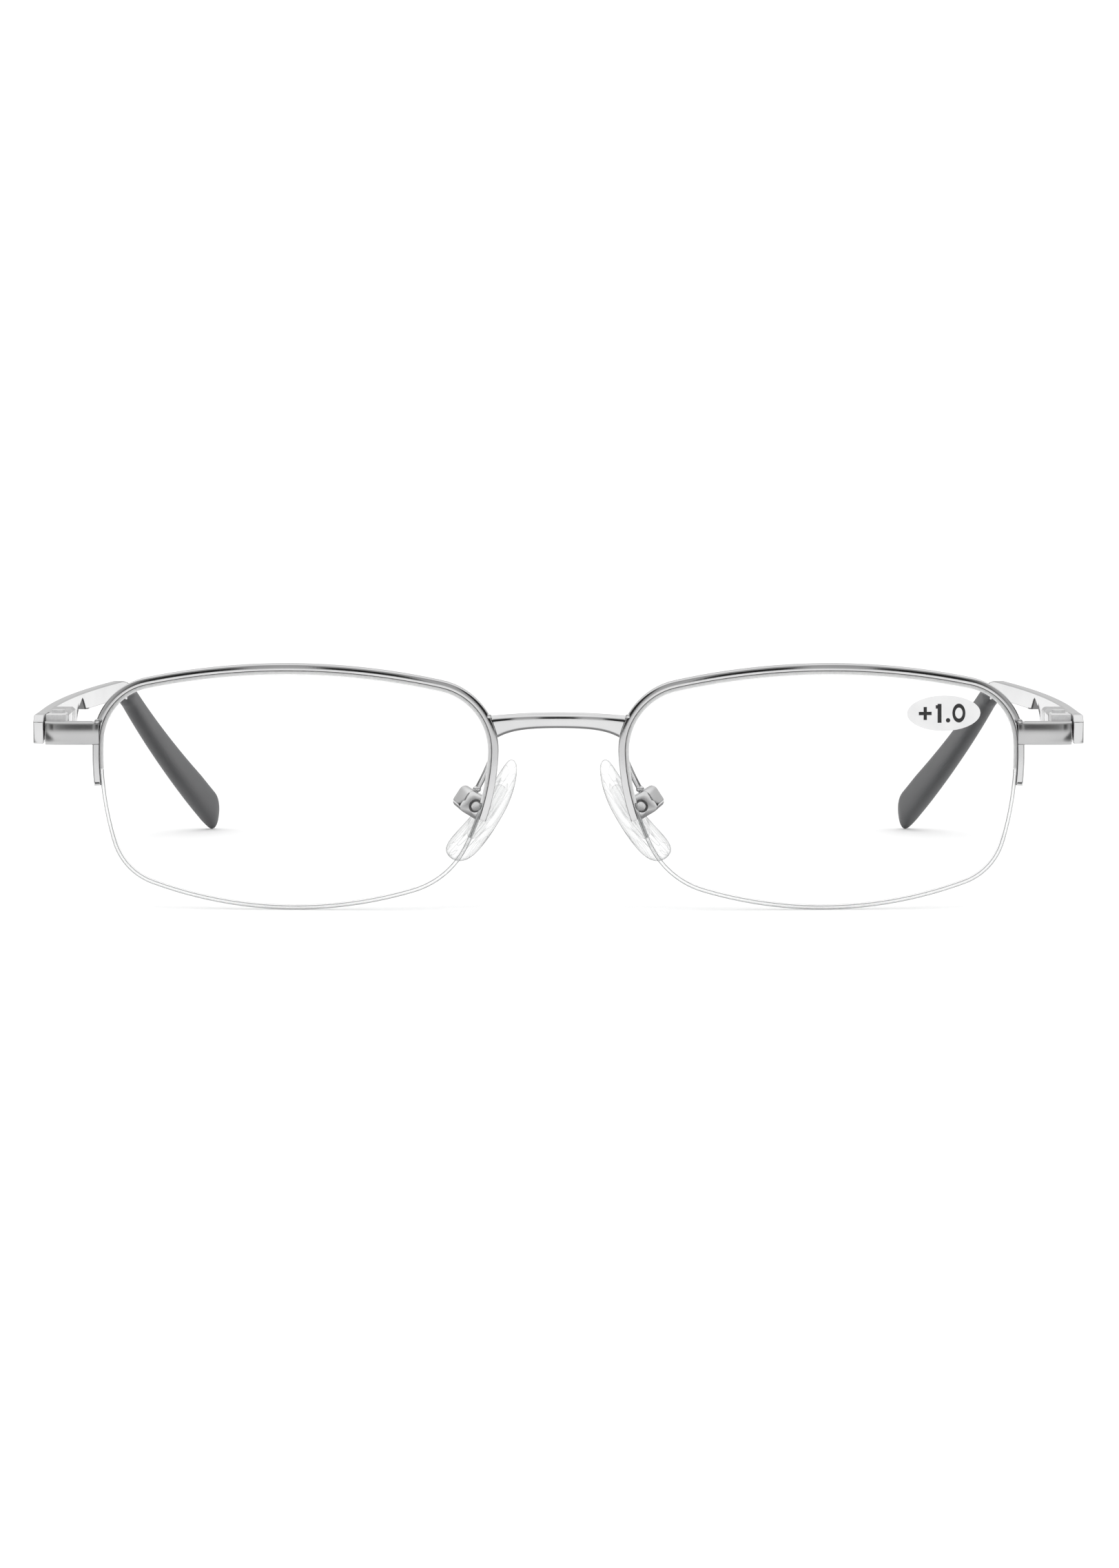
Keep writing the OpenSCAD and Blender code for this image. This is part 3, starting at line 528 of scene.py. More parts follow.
def soft_pad():
    f = Finish("soft_pad", IOR=1.41)
    facing = f.facing()
    cloud = f.noise(350, 3)
    mirrored = f.signal("ShaderNodeVectorMath", {"operation": "ABSOLUTE"}, {0: f.where})
    lengthways = f.signal("ShaderNodeMapping", {"vector_type": "TEXTURE"}, {
        "Vector": mirrored, "Rotation": (0, -math.radians(PAD_LEAN), 0), "Scale": (1, 1, 7)})
    # The streaks along the pad and its darker, more opaque outline are painted refraction of the
    # surroundings.
    painted_streaks = f.ramp(f.noise(800, 1, lengthways), [(0.465, 0), (0.5, 1), (0.535, 0)])
    return f.set(
        Base_Color=f.colour(facing ** 1.5 + cloud * 0.15 + painted_streaks * 0.4, (0.8, 0.81, 0.81), (0.25, 0.26, 0.26)),
        Roughness=0.08 + cloud * 0.1,
        Alpha=0.02 + cloud * 0.02 + facing ** 3 * 0.95 + painted_streaks * 0.3,
        Normal=f.bump(cloud, 0.08, 0.0001),
    )


def hard_core():
    f = Finish("hard_core", IOR=1.49)
    facing = f.facing()
    cloud = f.noise(500, 3)
    return f.set(
        # Darker and more opaque towards the outline: painted refraction lines along the core's edges.
        Base_Color=f.colour(facing ** 1.5 + cloud * 0.15, (0.78, 0.79, 0.79), (0.35, 0.36, 0.36)),
        Roughness=0.12 + cloud * 0.12,
        Alpha=0.03 + cloud * 0.03 + facing ** 2 * 0.5,
    )


def tip_plastic():
    f = Finish("tip_plastic", IOR=1.5, Specular_IOR_Level=0.4, Sheen_Weight=0.15, Sheen_Roughness=0.35)
    cloud = f.noise(120, 3)
    grain = f.noise(5200, 2)
    return f.set(
        Base_Color=f.colour(cloud, (0.022, 0.023, 0.026), (0.032, 0.033, 0.036)),
        Roughness=0.42 + cloud * 0.12,
        Normal=f.bump(grain, 0.25, 0.00002),
    )


def sticker_film():
    f = Finish("sticker_film", Roughness=0.35)
    cloud = f.noise(400, 3)
    return f.set(
        Base_Color=f.colour(cloud, (0.7, 0.7, 0.705), (0.75, 0.75, 0.75)),
        Normal=f.bump(cloud, 0.04, 0.0001),
    )


def sticker_ink():
    f = Finish("sticker_ink", Roughness=0.5)
    speck = f.noise(3500, 2)
    return f.set(Base_Color=f.colour(speck, (0.012, 0.012, 0.013), (0.025, 0.025, 0.026)))


METAL = buffed_metal("polished_metal", (0.66, 0.66, 0.665), (0.72, 0.72, 0.722), 0.045, 0.05, 0.05)
SATIN = buffed_metal("satin_metal", (0.5, 0.5, 0.505), (0.56, 0.56, 0.56), 0.17, 0.04, 0.03)
BLASTED, STEEL = blasted_metal(), turned_steel()
LENS, CORD, LINER = clear_lens(), clear_cord(), white_liner()
PAD, CORE, TIP = soft_pad(), hard_core(), tip_plastic()
FILM, INK, DARK_METAL_AND_SHADE = sticker_film(), sticker_ink(), dark_metal_and_shade()


# Front
def make_rim(side, flip):
    """The half rim, with a line of painted shade where it meets its liner."""
    near, far = FIT, RIM_W
    front, rear, back_r = -RIM_PROUD, RIM_D - RIM_PROUD, 0.22
    full_crown, least_share, shoulder, wall_in, end_bevel = 0.03, 0.04, 0.15, 0.05, 0.06
    middle, reach = (near + far) / 2, (far - near) / 2 - shoulder
    groove_front, groove_back = GROOVE_AT - GROOVE_W / 2, GROOVE_AT + GROOVE_W / 2
    bend = quarter(5)
    back = [(far - back_r * (1 - c), rear - back_r * (1 - s)) for c, s in bend]
    back += [(near + wall_in + back_r * (1 - s), rear - back_r * (1 - c)) for c, s in bend]
    back += [(near + wall_in, groove_back), (near + CHANNEL, groove_back)]
    back += [(near + CHANNEL, groove_front), (near, groove_front)]

    def face(crown):
        """The front from the inner to the outer edge, lower at both by the crown."""
        top = front + crown + shoulder
        inner = [(near + shoulder * (1 - c), top - shoulder * s) for c, s in bend]
        outer = [(far - shoulder * (1 - s), top - shoulder * c) for c, s in bend]
        return inner + [(middle + reach * t, front + crown * t * t) for t in steps(-0.9, 0.9, 12)] + outer

    rings = []
    for p, n in upper_path():
        section = face(full_crown * max(least_share, n.y)) + back
        rings.append([lens_place(p + out * n, behind) for out, behind in section])
    bm = bmesh.new()
    tube(bm, rings)
    # The faces along the liner's edge take the dark second material: painted shade for the gap line.
    painted_gap_shade = {v.to_tuple(4) for ring in rings for v in (*ring[:5], ring[-1])}
    give_second(bm, lambda at: at.to_tuple(4) in painted_gap_shade)
    ends = once(e for f in bm.faces if len(f.verts) > 4 for e in f.edges)
    bevelled(bm, ends, end_bevel, 2)
    piece(bm, f"polished_rim_{side}", "front", [METAL, DARK_METAL_AND_SHADE], [f"{side}_rim"], flip)


def make_liner(side, flip):
    """The strip in the rim's channel, whose lip sits in the lens groove."""
    inner, outer, half = FIT - GROOVE_DEPTH + 0.05, CHANNEL, GROOVE_W / 2 - FIT
    section = [(inner, GROOVE_AT - half), (outer, GROOVE_AT - half)]
    section += [(outer, GROOVE_AT + half), (inner, GROOVE_AT + half)]
    bm = bmesh.new()
    tube(bm, edge_strip(upper_path(CORD_TUCK + 0.06), section))
    piece(bm, f"groove_liner_{side}", "front", [LINER], [f"{side}_rim_liner"], flip)


def make_cord(side, flip):
    """The cord in the lower edge's groove, with both its ends in the rim."""
    middle, r = CORD_PROUD - CORD_D / 2, CORD_D / 2
    section = [(middle + r * math.cos(a), GROOVE_AT + r * math.sin(a)) for a in turns(14)]
    bm = bmesh.new()
    tube(bm, edge_strip(lower_path(CORD_TUCK), section))
    piece(bm, f"lens_cord_{side}", "front", [CORD], [f"{side}_nylon_cord"], flip)


def make_bridge():
    """A bowed bar that is higher at its ends, with a solder bead on each."""
    around, along, soft = 40, 36, 0.7
    rim_front = dome_depth(Vector((LENS_A / 2 + RIM_W / 2, NOSE_APEX)), -RIM_PROUD)
    end_depth, bulge = rim_front + BRIDGE_D / 2 + 0.05, 0.85
    bead_x, bead_z, bead_r = 8.85, 24.75, 0.3
    rings = []
    for k in range(-along, along + 1):
        t = k / along
        e = t * t
        h = BRIDGE_H + (BRIDGE_END_H - BRIDGE_H) * e * e
        top, depth = BRIDGE_Z + BRIDGE_H - BRIDGE_DROP * e, end_depth - bulge * (1 - e)
        ring = []
        for a in turns(around, 0.5):
            z = top - h / 2 + h / 2 * squared(math.sin(a), soft)
            y = depth + BRIDGE_D / 2 * squared(math.cos(a), soft)
            ring.append(place(t * (LENS_X - nose_reach(z - LENS_Z, RIM_W + FIT)), y, z))
        rings.append(ring)
    bm = bmesh.new()
    tube(bm, rings)
    for way in (1, -1):
        ball(bm, place(way * bead_x, end_depth - 0.75, bead_z), bead_r, (1, 0.8, 1))
    piece(bm, "polished_bridge", "front", [METAL], ["bridge"])


def make_arm(bm, rim_outer, arm_in):
    """The arm, whose front face is a low barrel that bows and bends back at its outer end."""
    low, high = ARM_Z, ARM_Z + ARM_H
    edge_r, edge_back, barrel, rear_bevel = 0.32, 0.16, 0.23, 0.1
    sweep_length, sweep_back, sweep_turn = 1.3, 0.3, math.radians(38)
    sweep_in = arm_in - sweep_length
    bow_at = rim_outer + 0.67 * (sweep_in - rim_outer)

    def arm_ring(x, front, rear):
        front += ARM_BOW / 2 * (x - bow_at) ** 2
        ring = []
        for k in range(17):
            z = low + edge_r + (high - low - 2 * edge_r) * k / 16
            ring.append(place(x, front + barrel * ((z - low) / (high - low) * 2 - 1) ** 2, z))
        rounding = [(edge_back + edge_r * (1 - c), edge_r * (s - 1)) for c, s in quarter(5)[1:5]]
        ring += [place(x, front + back, high + up) for back, up in rounding]
        ring += [place(x, rear - rear_bevel, high), place(x, rear, high - rear_bevel)]
        ring += [place(x, rear, low + rear_bevel), place(x, rear - rear_bevel, low)]
        return ring + [place(x, front + back, low - up) for back, up in rounding[::-1]]

    thin, thick, edge = ARM_AT + TONGUE_T, ARM_AT + ARM_T, LENS_X + LENS_A / 2
    rings = [arm_ring(edge + 0.08, ARM_AT + 0.06, thin), arm_ring(edge + 0.2, ARM_AT, thin)]
    rings += [arm_ring(rim_outer - 0.01, ARM_AT, thin), arm_ring(rim_outer + 0.01, ARM_AT, thick)]
    rings += [arm_ring(x, ARM_AT, thick) for x in steps(rim_outer + 0.4, sweep_in, 8)]
    for k in range(1, 9):
        swept = (1 - math.cos(sweep_turn * k / 8)) / (1 - math.cos(sweep_turn))
        rings.append(arm_ring(sweep_in + sweep_length * k / 8, ARM_AT + sweep_back * swept, thick))
    tube(bm, rings)


def make_endpiece(side, flip):
    """The arm and the corner block, whose rear face leaves room for the temple's flex."""
    rim_outer, arm_in, high = LENS_X + LENS_A / 2 + RIM_W + FIT, OUTER_X - CORNER_T, ARM_Z + ARM_H
    block_in, block_low, block_r, block_bevel = arm_in + ARM_GROOVE * 0.6, ARM_Z + 0.15, 0.6, 0.16
    bm = bmesh.new()
    make_arm(bm, rim_outer, arm_in)
    before = set(bm.verts)
    slope, gap = math.tan(math.radians(FLEX)), (BUTT_AT + FIT) / math.cos(math.radians(FLEX))
    outline = [(ARM_AT + 0.16, block_low), (ARM_AT, high), (ARM_AT + 1.6, TEMPLE_TOP)]
    outline += [(HINGE_AT, TEMPLE_TOP), (HINGE_AT, block_low)]
    face = bm.faces.new([bm.verts.new(place(block_in, d, z)) for d, z in outline])
    grown = bmesh.ops.extrude_face_region(bm, geom=[face])["geom"]
    grown = [g for g in grown if isinstance(g, bmesh.types.BMVert)]
    bmesh.ops.translate(bm, vec=Vector((OUTER_X - block_in, 0, 0)), verts=grown)
    block = [v for v in bm.verts if v not in before]
    for v in block:
        if v.co.y > FRONT_Y + HINGE_AT - 0.1:
            v.co.y = FRONT_Y + HINGE_AT - gap - (v.co.x - HINGE_X) * slope
    block_faces = once(f for v in block for f in v.link_faces)
    bmesh.ops.recalc_face_normals(bm, faces=block_faces)
    for f in block_faces:
        f.material_index = 1
    front_outer = [e for e in once(e for v in block for e in v.link_edges)
                   if all(v.co.x > OUTER_X - 0.01 and v.co.y < FRONT_Y + ARM_AT + 0.01 for v in e.verts)]
    bevelled(bm, front_outer, block_r, 6)
    edges = once(e for v in bm.verts if v not in before for e in v.link_edges)
    bevelled(bm, sharp_edges(edges), block_bevel, 4)
    ball(bm, place(rim_outer - 0.7, ARM_AT + 0.1, high + 0.05), 0.3, (1.1, 0.8, 1))
    piece(bm, f"satin_endpiece_{side}", "front", [SATIN, METAL], [f"{side}_endpiece"], flip)


# Temples
def sag(r, out):
    """How far an arc has left its tangent after a run along it."""
    return r - math.sqrt(r * r - out * out)


BOW_DEPTH = HINGE_AT + BOW_AT
ARC_START = BEND_DEPTH - BEND_R * math.tan(EAR / 2)
ARC_END = ARC_START + BEND_R * math.sin(EAR)
TIP_DEPTH = BEND_DEPTH + TIP_AT
CORE_END = BEND_DEPTH + 0.85 * (TIP_END - BEND_DEPTH)


def temple_frame(depth):
    """The temple's middle at a depth, and its sideways and upward directions there."""
    run = max(0, depth - BOW_DEPTH)
    r = BOW_R - TEMPLE_T / 2
    x = OUTER_X - BOW_R + math.sqrt(r * r - run * run)
    b = math.asin(run / BOW_R)
    if depth < ARC_START:
        a, z = 0, BAR_Z
    elif depth < ARC_END:
        a, z = math.asin((depth - ARC_START) / BEND_R), BAR_Z - sag(BEND_R, depth - ARC_START)
    else:
        a, z = EAR, BAR_Z - (depth - BEND_DEPTH) * math.tan(EAR)
    along = Vector((-math.sin(b) * math.cos(a), math.cos(b) * math.cos(a), -math.sin(a)))
    across = Vector((math.cos(b), math.sin(b), 0))
    return place(x, depth, z), across, across.cross(along)


def temple_ring(depth, width, low, high, soft, corners):
    """A squared oval round the temple's middle."""
    middle, across, up = temple_frame(depth)
    ring = []
    for a in turns(corners, 0.5):
        x = width / 2 * squared(math.cos(a), soft)
        z = (high + low) / 2 + (high - low) / 2 * squared(math.sin(a), soft)
        ring.append(middle + across * x + up * z)
    return ring


def bar_ring(depth, width, low, high, r=0.2):
    """A rectangle with rounded corners round the temple's middle."""
    middle, across, up = temple_frame(depth)
    r = min(r, (high - low) / 2.2)
    ring = []
    for q, (sx, sz) in enumerate(((1, 1), (-1, 1), (-1, -1), (1, -1))):
        for k in range(6):
            a = math.pi / 2 * (q + k / 5)
            x = sx * (width / 2 - r) + r * math.cos(a)
            z = (high - r if sz > 0 else low + r) + r * math.sin(a)
            ring.append(middle + across * x + up * z)
    return ring


def make_temple_bar(side, flip):
    """The bar, its cut plate with painted shade along its lower edge, and its core in the tip."""
    plate, low, top = TEMPLE_TOP - PLATE_H - BAR_Z, -BAR_H / 2, TEMPLE_TOP - BAR_Z
    cut, peak_up = HINGE_AT + CUT_AT, TEMPLE_TOP - CUT_LEFT - BAR_Z
    peak, peak_soft, bar_end = cut + CUT_RUN, 0.15, 200
    lower = [(0, plate), (cut, plate), (cut + 0.45 * CUT_RUN, plate + 0.65 * (peak_up - plate))]
    lower += [(peak - peak_soft, peak_up - 0.05), (peak, peak_up), (peak + peak_soft, peak_up - 0.02)]
    lower += [(peak + 1.3, peak_up - 0.3), (peak + 3.4, low + 0.1), (peak + 6, low), (bar_end, low)]

    def low_at(d):
        for (a, u), (b, v) in zip(lower, lower[1:]):
            if a <= d <= b:
                return u + (v - u) * (d - a) / (b - a)

    def end_ring(d, inset):
        return bar_ring(d, TEMPLE_T - 2 * inset, plate + inset, top - inset)

    front, mouth = HINGE_AT - BUTT_AT, TIP_DEPTH - 0.12
    depths = steps(front + 0.15, cut - 0.3, 60) + steps(cut - 0.1, peak + 6.3, 48)
    depths += steps(peak + 7, ARC_START, 24) + steps(ARC_START + 0.5, mouth, 8)
    shaped = [bar_ring(d, TEMPLE_T, low_at(d), top) for d in depths]
    core = steps(mouth + 0.02, ARC_END, 6) + steps(ARC_END + 0.5, CORE_END, 24)
    rings = [end_ring(front, 0.15), end_ring(front + 0.04, 0.06)] + shaped
    rings += [bar_ring(d, CORE_T, -CORE_H / 2, CORE_H / 2, 0.1) for d in core]
    bm = bmesh.new()
    tube(bm, rings)
    # The lower edge up to past the cut takes the dark second material: painted shade along the plate's lower
    # edge.
    painted_edge_shade = {v.to_tuple(4) for d, ring in zip(depths, shaped) if d < peak + 6.4 for v in ring[12:18]}
    give_second(bm, lambda at: at.to_tuple(4) in painted_edge_shade)
    materials, nodes = [METAL, DARK_METAL_AND_SHADE], [f"{side}_temple_bar"]
    piece(bm, f"polished_temple_{side}", f"{side}_temple", materials, nodes, flip)


def make_temple_tip(side, flip):
    """The sleeve, which closes on the bar's own outline at its mouth and is round at its end."""
    length, corners, soft, mouth_soft = TIP_END - TIP_DEPTH, 36, 0.78, 0.3
    mouth_high, full_high = TIP_MOUTH_H - TIP_MOUTH_LOW, TIP_H - TIP_LOW
    mouth, bar_t, bar = TIP_DEPTH - 1.4, TEMPLE_T + 0.08, BAR_H / 2 + 0.04

    def full_ring(d):
        opening = math.sin(math.pi / 2 * min(1, (d - mouth) / TIP_OPENING))
        grown = min(1, 1.25 * max(0, d - TIP_DEPTH) / length)
        width = TIP_MOUTH_T + (TIP_T - TIP_MOUTH_T) * grown
        low = TIP_MOUTH_LOW + (TIP_LOW - TIP_MOUTH_LOW) * grown
        high = mouth_high + (full_high - mouth_high) * grown
        width, low, high = (b + (t - b) * opening for b, t in ((bar_t, width), (bar, low), (bar, high)))
        return temple_ring(d, width, -low, high, mouth_soft + (soft - mouth_soft) * opening, corners)

    opened = mouth + TIP_OPENING
    rings = [full_ring(d) for d in steps(mouth, opened, 10) + steps(opened + 0.4, ARC_END, 6)]
    rings += [full_ring(d) for d in steps(ARC_END + 0.8, TIP_END - TIP_END_RUN, 40)]
    for c, s in quarter(14)[1:]:
        share = TIP_END_SHARE + (1 - TIP_END_SHARE) * c
        d = TIP_END - TIP_END_RUN * (1 - s)
        rings.append(temple_ring(d, TIP_T * share, -TIP_LOW, TIP_H * share - TIP_LOW, soft, corners))
    last_middle = sum(rings[-1], Vector()) / corners
    for k in (0.88, 0.6, 0.25):
        rings.append([last_middle + (v - last_middle) * k for v in rings[-1]])
    bm = bmesh.new()
    tube(bm, rings)
    nodes = [f"{side}_temple_tip"]
    piece(bm, f"temple_sleeve_{side}", f"{side}_temple", [TIP], nodes, flip, sharp=60)


def make_spring(side, flip):
    """The coil between the bushing and the stop."""
    wire, coils, per_coil, around, gap = 0.13, 7, 24, 8, 0.02
    coil_r, first = ROD_R + 0.09 + wire, CASE_AT + 0.1 + BUSHING_T + wire + gap
    stop = CASE_AT + ROD_LENGTH - STOP_T
    last, count = stop - wire - gap, coils * per_coil
    rings = []
    for k in range(count + 1):
        a, y = math.tau * k / per_coil, first + (last - first) * k / count
        ring = []
        for w in turns(around):
            r, depth = coil_r + wire * math.cos(w), HINGE_AT + y + wire * math.sin(w)
            ring.append(place(HINGE_X + r * math.cos(a), depth, HINGE_Z + r * math.sin(a)))
        rings.append(ring)
    bm = bmesh.new()
    tube(bm, rings)
    nodes = [f"{side}_hinge_spring"]
    coil = piece(bm, f"coil_spring_{side}", f"{side}_slider", [STEEL], nodes, flip)
    held_end = place(-HINGE_X if flip else HINGE_X, HINGE_AT + stop, HINGE_Z) * 0.001
    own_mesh(coil)


# Nose pads
PAD_AXLE = place(PAD_X, PAD_AT, PAD_Z)


def pad_turned(v):
    """A direction or step of the pad's own frame, splayed and leaned."""
    c, s = math.cos(math.radians(PAD_SPLAY)), math.sin(math.radians(PAD_SPLAY))
    x, y = v[0] * c - v[1] * s, v[0] * s + v[1] * c
    c, s = math.cos(math.radians(PAD_LEAN)), math.sin(math.radians(PAD_LEAN))
    return Vector((-(x * c + v[2] * s), y, v[2] * c - x * s))


def make_nose_pad(side, flip):
    """A bowed drop, broader and fuller at its lower end."""
    stations, corners, curve_r, half, last_t = 40, 36, 24, PAD_LENGTH / 2, 0.9995
    middle, broad, rounding_at = 2.9, 0.86, 0.93
    rings = []
    for k in range(stations + 1):
        t = -last_t * math.cos(math.pi * k / stations)
        z = half * t
        full = (1 - t ** 3) ** 0.6 if t > 0 else math.sqrt(1 - t ** 6)
        w = PAD_W / 2 * (broad - (0.16 if t > 0 else 0.26) * t) * full
        ended = max(0, (abs(t) - rounding_at) / (1 - rounding_at))
        thick = PAD_T / 2 * (0.45 + 0.55 * full) * math.sqrt(1 - ended ** 2)
        x = middle - z * z / (2 * curve_r)
        section = [(x + thick * math.cos(a), w * math.sin(a), z) for a in turns(corners, 0.5)]
        rings.append([PAD_AXLE + pad_turned(v) for v in section])
    bm = bmesh.new()
    tube(bm, rings)
    piece(bm, f"soft_pad_{side}", f"{side}_pad", [PAD], [f"{side}_nose_pad"], flip, sharp=70)


def make_pad_arm(side, flip):
    """The wire from the rim's rear to the top of the box, with a solder ball at the box."""
    count, around, root_up = 48, 18, 4.4
    root_out = LENS_A / 2 + RIM_W / 2
    root = dome_depth(Vector((root_out + WIRE_R, root_up)), RIM_D - RIM_PROUD) + 0.02
    a = place(LENS_X - root_out, root, LENS_Z + root_up)
    d = PAD_AXLE + pad_turned((-0.6, -0.3, BOX_H / 2 + 0.03))
    b, c = a + Vector((0, 4.2, 0.9)), d + pad_turned((0, 0, 2.6))
    rings = []
    for k in range(count + 1):
        t = k / count
        at = (1 - t) ** 3 * a + 3 * (1 - t) ** 2 * t * b + 3 * (1 - t) * t * t * c + t ** 3 * d
        h = ((1 - t) ** 2 * (b - a) + 2 * (1 - t) * t * (c - b) + t * t * (d - c)).normalized()
        u = h.cross(Vector((1, 0, 0))).normalized()
        v = h.cross(u)
        rings.append([at + WIRE_R * (u * math.cos(w) + v * math.sin(w)) for w in turns(around)])
    bm = bmesh.new()
    tube(bm, rings)
    ball(bm, d + pad_turned((0, 0, 0.35)), 0.55, (1, 1, 0.8))
    piece(bm, f"pad_wire_{side}", "front", [METAL], [f"{side}_pad_arm"], flip)


def make_pad_box(side, flip):
    """The box, with painted shade in the dish round its screw."""
    dish_r, axis = 0.95, pad_turned((0, 1, 0))
    bm = rounded_copy("right_pad_box", 0.25, 4)
    # The faces near the screw's axis take the dark second material: painted shade in the recess.
    give_second(bm, lambda at: (at - PAD_AXLE).cross(axis).length < dish_r)
    materials, nodes = [METAL, DARK_METAL_AND_SHADE], [f"{side}_pad_box"]
    piece(bm, f"rounded_pad_box_{side}", "front", materials, nodes, flip)


def make_number():
    """A plain power number on the sticker, as on any reading lens."""
    sunk, proud = -0.085, -0.102
    bars = [(-2.4, 0, 1.65, 0.42), (-2.4, 0, 0.42, 1.65), (-0.55, 0, 0.5, 2.4), (-0.87, 0.82, 0.34, 0.44)]
    bm = bmesh.new()
    for x, z, w, h in bars:
        made = bmesh.ops.create_grid(bm, x_segments=1, y_segments=1, size=0.5)["verts"]
        bmesh.ops.scale(bm, vec=Vector((w, h, 1)), verts=made)
        bmesh.ops.translate(bm, vec=Vector((x, z, 0)), verts=made)
    dot = bmesh.ops.create_circle(bm, cap_ends=True, segments=24, radius=0.28)["verts"]
    bmesh.ops.translate(bm, vec=Vector((0.55, -0.9, 0)), verts=dot)
    nought = bmesh.ops.create_circle(bm, cap_ends=True, segments=48, radius=1)["verts"]
    face = nought[0].link_faces[0]
    inner = bmesh.ops.inset_individual(bm, faces=[face], thickness=0.42)
    bmesh.ops.delete(bm, geom=[face], context="FACES_ONLY")
    ring = once(v for f in inner["faces"] for v in f.verts)
    bmesh.ops.scale(bm, vec=Vector((0.84, 1.2, 1)), verts=ring)
    bmesh.ops.translate(bm, vec=Vector((1.95, 0, 0)), verts=ring)
    grown = bmesh.ops.extrude_face_region(bm, geom=list(bm.faces))["geom"]
    raised = {g for g in grown if isinstance(g, bmesh.types.BMVert)}
    for v in bm.verts:
        p = Vector((LENS_X - STICKER_X - v.co.x, STICKER_Z + v.co.y - LENS_Z))
        v.co = place(STICKER_X + v.co.x, dome_depth(p, proud if v in raised else sunk), STICKER_Z + v.co.y)
    bmesh.ops.recalc_face_normals(bm, faces=bm.faces)
    piece(bm, "power_number", "front", [INK], smooth=False)


def dress_node(node, material):
    """Gives a solid that stays in sight its material."""
    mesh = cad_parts[node].data
    mesh.materials.clear()
    mesh.materials.append(material)


# Solids that only get rounded edges: body, rounding, slot, material
MACHINED = {
    "front_hinge": ("front", 0.14, "polished_metal", BLASTED),
    "hinge_screw": ("front", 0.06, "steel", BLASTED),
    "hinge_slider": ("slider", 0.06, "steel", STEEL),
    "slider_stop": ("slider", 0.05, "steel", STEEL),
    "hinge_bushing": ("temple", 0.05, "steel", DARK_METAL_AND_SHADE),
    "spring_case": ("temple", 0.2, "polished_metal", METAL),
    "pad_screw": ("front", 0.06, "steel", STEEL),
    "pad_core": ("pad", 0.1, "pad_core_plastic", CORE),
}

make_bridge()
for side, flip in SIDES:
    make_rim(side, flip)
    make_liner(side, flip)
    make_cord(side, flip)
    make_endpiece(side, flip)
    make_temple_bar(side, flip)
    make_temple_tip(side, flip)
    make_spring(side, flip)
    make_nose_pad(side, flip)
    make_pad_arm(side, flip)
    make_pad_box(side, flip)
    for part, (body, width, slot, material) in MACHINED.items():
        rides, node = body if body == "front" else f"{side}_{body}", f"{side}_{part}"
        piece(rounded_copy(node, width), f"rounded_{part}_{side}", rides, [material], [node])
    dress_node(f"{side}_lens", LENS)
dress_node("power_sticker", FILM)
make_number()


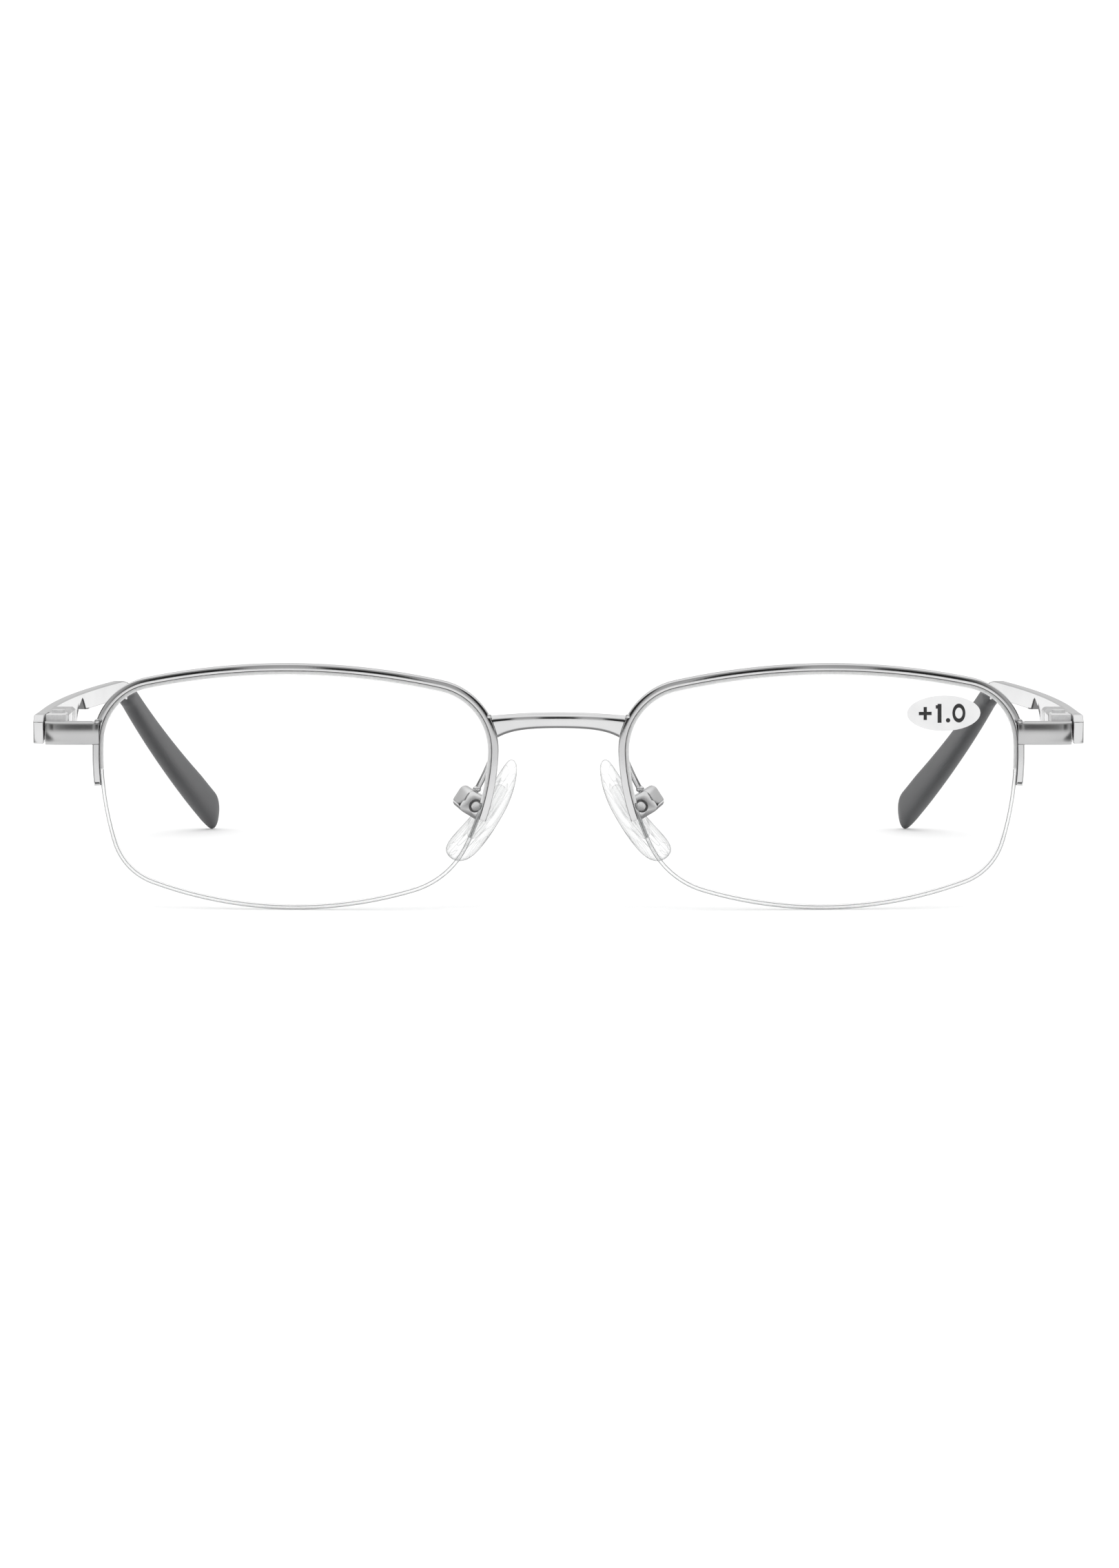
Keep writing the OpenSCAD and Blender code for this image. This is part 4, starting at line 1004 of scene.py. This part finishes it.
# Studio
def make_floor():
    """A white floor. Reflections see it darker, more so near the glasses and under the flags."""
    bm = bmesh.new()
    bmesh.ops.create_grid(bm, x_segments=1, y_segments=1, size=4)
    mesh = mesh_of("studio_floor", bm)
    obj = add("studio_floor", mesh)
    f = Finish("studio_floor", Roughness=0.9)
    speck = f.noise(3, 2)
    mirrored = f.signal("ShaderNodeLightPath", output="Is Glossy Ray")
    away = f.signal("ShaderNodeVectorMath", {"operation": "LENGTH"}, {0: f.where}, output=1)
    spot = f.signal("ShaderNodeVectorMath", {"operation": "ADD"}, {0: f.where, 1: (0, 0.06, 0)})
    flat = f.signal("ShaderNodeVectorMath", {"operation": "NORMALIZE"}, {0: spot})
    side = f.signal("ShaderNodeSeparateXYZ", None, {0: flat}, output="X")
    flags = f.flags(f.absolute(side)) * f.smooth(away, 0.12, 0.16)
    shade = mirrored * (0.33 + f.smooth(away, 0.088, 0.072) * 0.27 + flags * 0.37)
    tone = f.colour(speck * 0.01 + shade, (0.97, 0.97, 0.97), (0.02, 0.02, 0.02))
    mesh.materials.append(f.set(Base_Color=tone))
    obj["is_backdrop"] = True


def make_world():
    """A white surround for the camera. Reflections see a room, with dark cards in front."""
    world = bpy.data.worlds.new("soft_studio")
    bpy.context.scene.world = world
    world.use_nodes = True
    w = Nodes(world.node_tree)
    background = world.node_tree.nodes["Background"]
    way = w.signal("ShaderNodeTexCoord", output="Generated")
    parts = w.node("ShaderNodeSeparateXYZ", None, {0: way})
    side, back, up = (Signal(w, parts.outputs[k]) for k in range(3))
    beside = w.absolute(side)

    def mix(factor, a, b):
        return w.signal("ShaderNodeMix", {"data_type": "FLOAT"}, {0: factor, 2: a, 3: b})

    cards = w.ramp(beside, [(0.0, 0.015), (0.1, 0.02), (0.15, 0.5), (0.29, 0.45),
                            (0.33, 0.015), (0.53, 0.015), (0.64, 0.4), (0.8, 0.6)])
    front = mix(w.smooth(up, 0.06, 0.12), 0.9, cards)
    front = mix(w.smooth(up, 0.36, 0.46), front, 0.4)
    front = mix(w.smooth(up, 0.5, 0.64), front, 1.0)
    room = mix(w.smooth(back, 0.1, -0.25), mix(w.smooth(up, 0.3, 0.8), 0.62, 1.1), front)
    room = mix(w.flags(beside) * (1 - w.smooth(up, 0.35, 0.5)), room, 0.02)
    room = mix(w.smooth(up, 0.88, 0.97), room, 0.6)
    path = w.node("ShaderNodeLightPath")
    mirrored = Signal(w, path.outputs["Is Glossy Ray"]) * (1 - Signal(w, path.outputs["Is Transmission Ray"]))
    camera = Signal(w, path.outputs["Is Camera Ray"])
    w.feed(background.inputs["Color"], mix(mirrored, 1.0, room))
    w.feed(background.inputs["Strength"], 1.0 + (1 - mirrored) * 0.18 + camera * 0.2)


def make_light(name, at, aim, size, power):
    data = bpy.data.lights.new(name, "AREA")
    data.shape, data.size, data.energy = "DISK", size, power
    obj = add(name, data)
    obj.location = at
    obj.rotation_euler = (Vector(aim) - Vector(at)).to_track_quat("-Z", "Y").to_euler()


def make_camera():
    """The photograph's view: 850 mm before the foremost point, 3.9 degrees down."""
    tilt, distance = math.radians(3.9), 0.85
    forward = Vector((0, math.cos(tilt), -math.sin(tilt)))
    aim = Vector((0.13, FRONT_Y, 16.2)) * 0.001
    data = bpy.data.cameras.new("photo_view")
    data.lens, data.sensor_width, data.clip_start = 153.3, 36, 0.01
    obj = add("photo_view", data)
    obj.location = aim - forward * distance
    obj.rotation_euler = forward.to_track_quat("-Z", "Y").to_euler()
    bpy.context.scene.camera = obj


make_camera()
make_floor()
make_world()
make_light("overhead_softbox", (0, -0.1, 0.9), (0, 0, 0), 0.9, 0.6)
bpy.context.scene.view_settings.view_transform = "Standard"


def corners(box):
    return [[float(v) for v in corner] for corner in box]


{"cad": corners(cad_box), "visual": corners(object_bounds())}
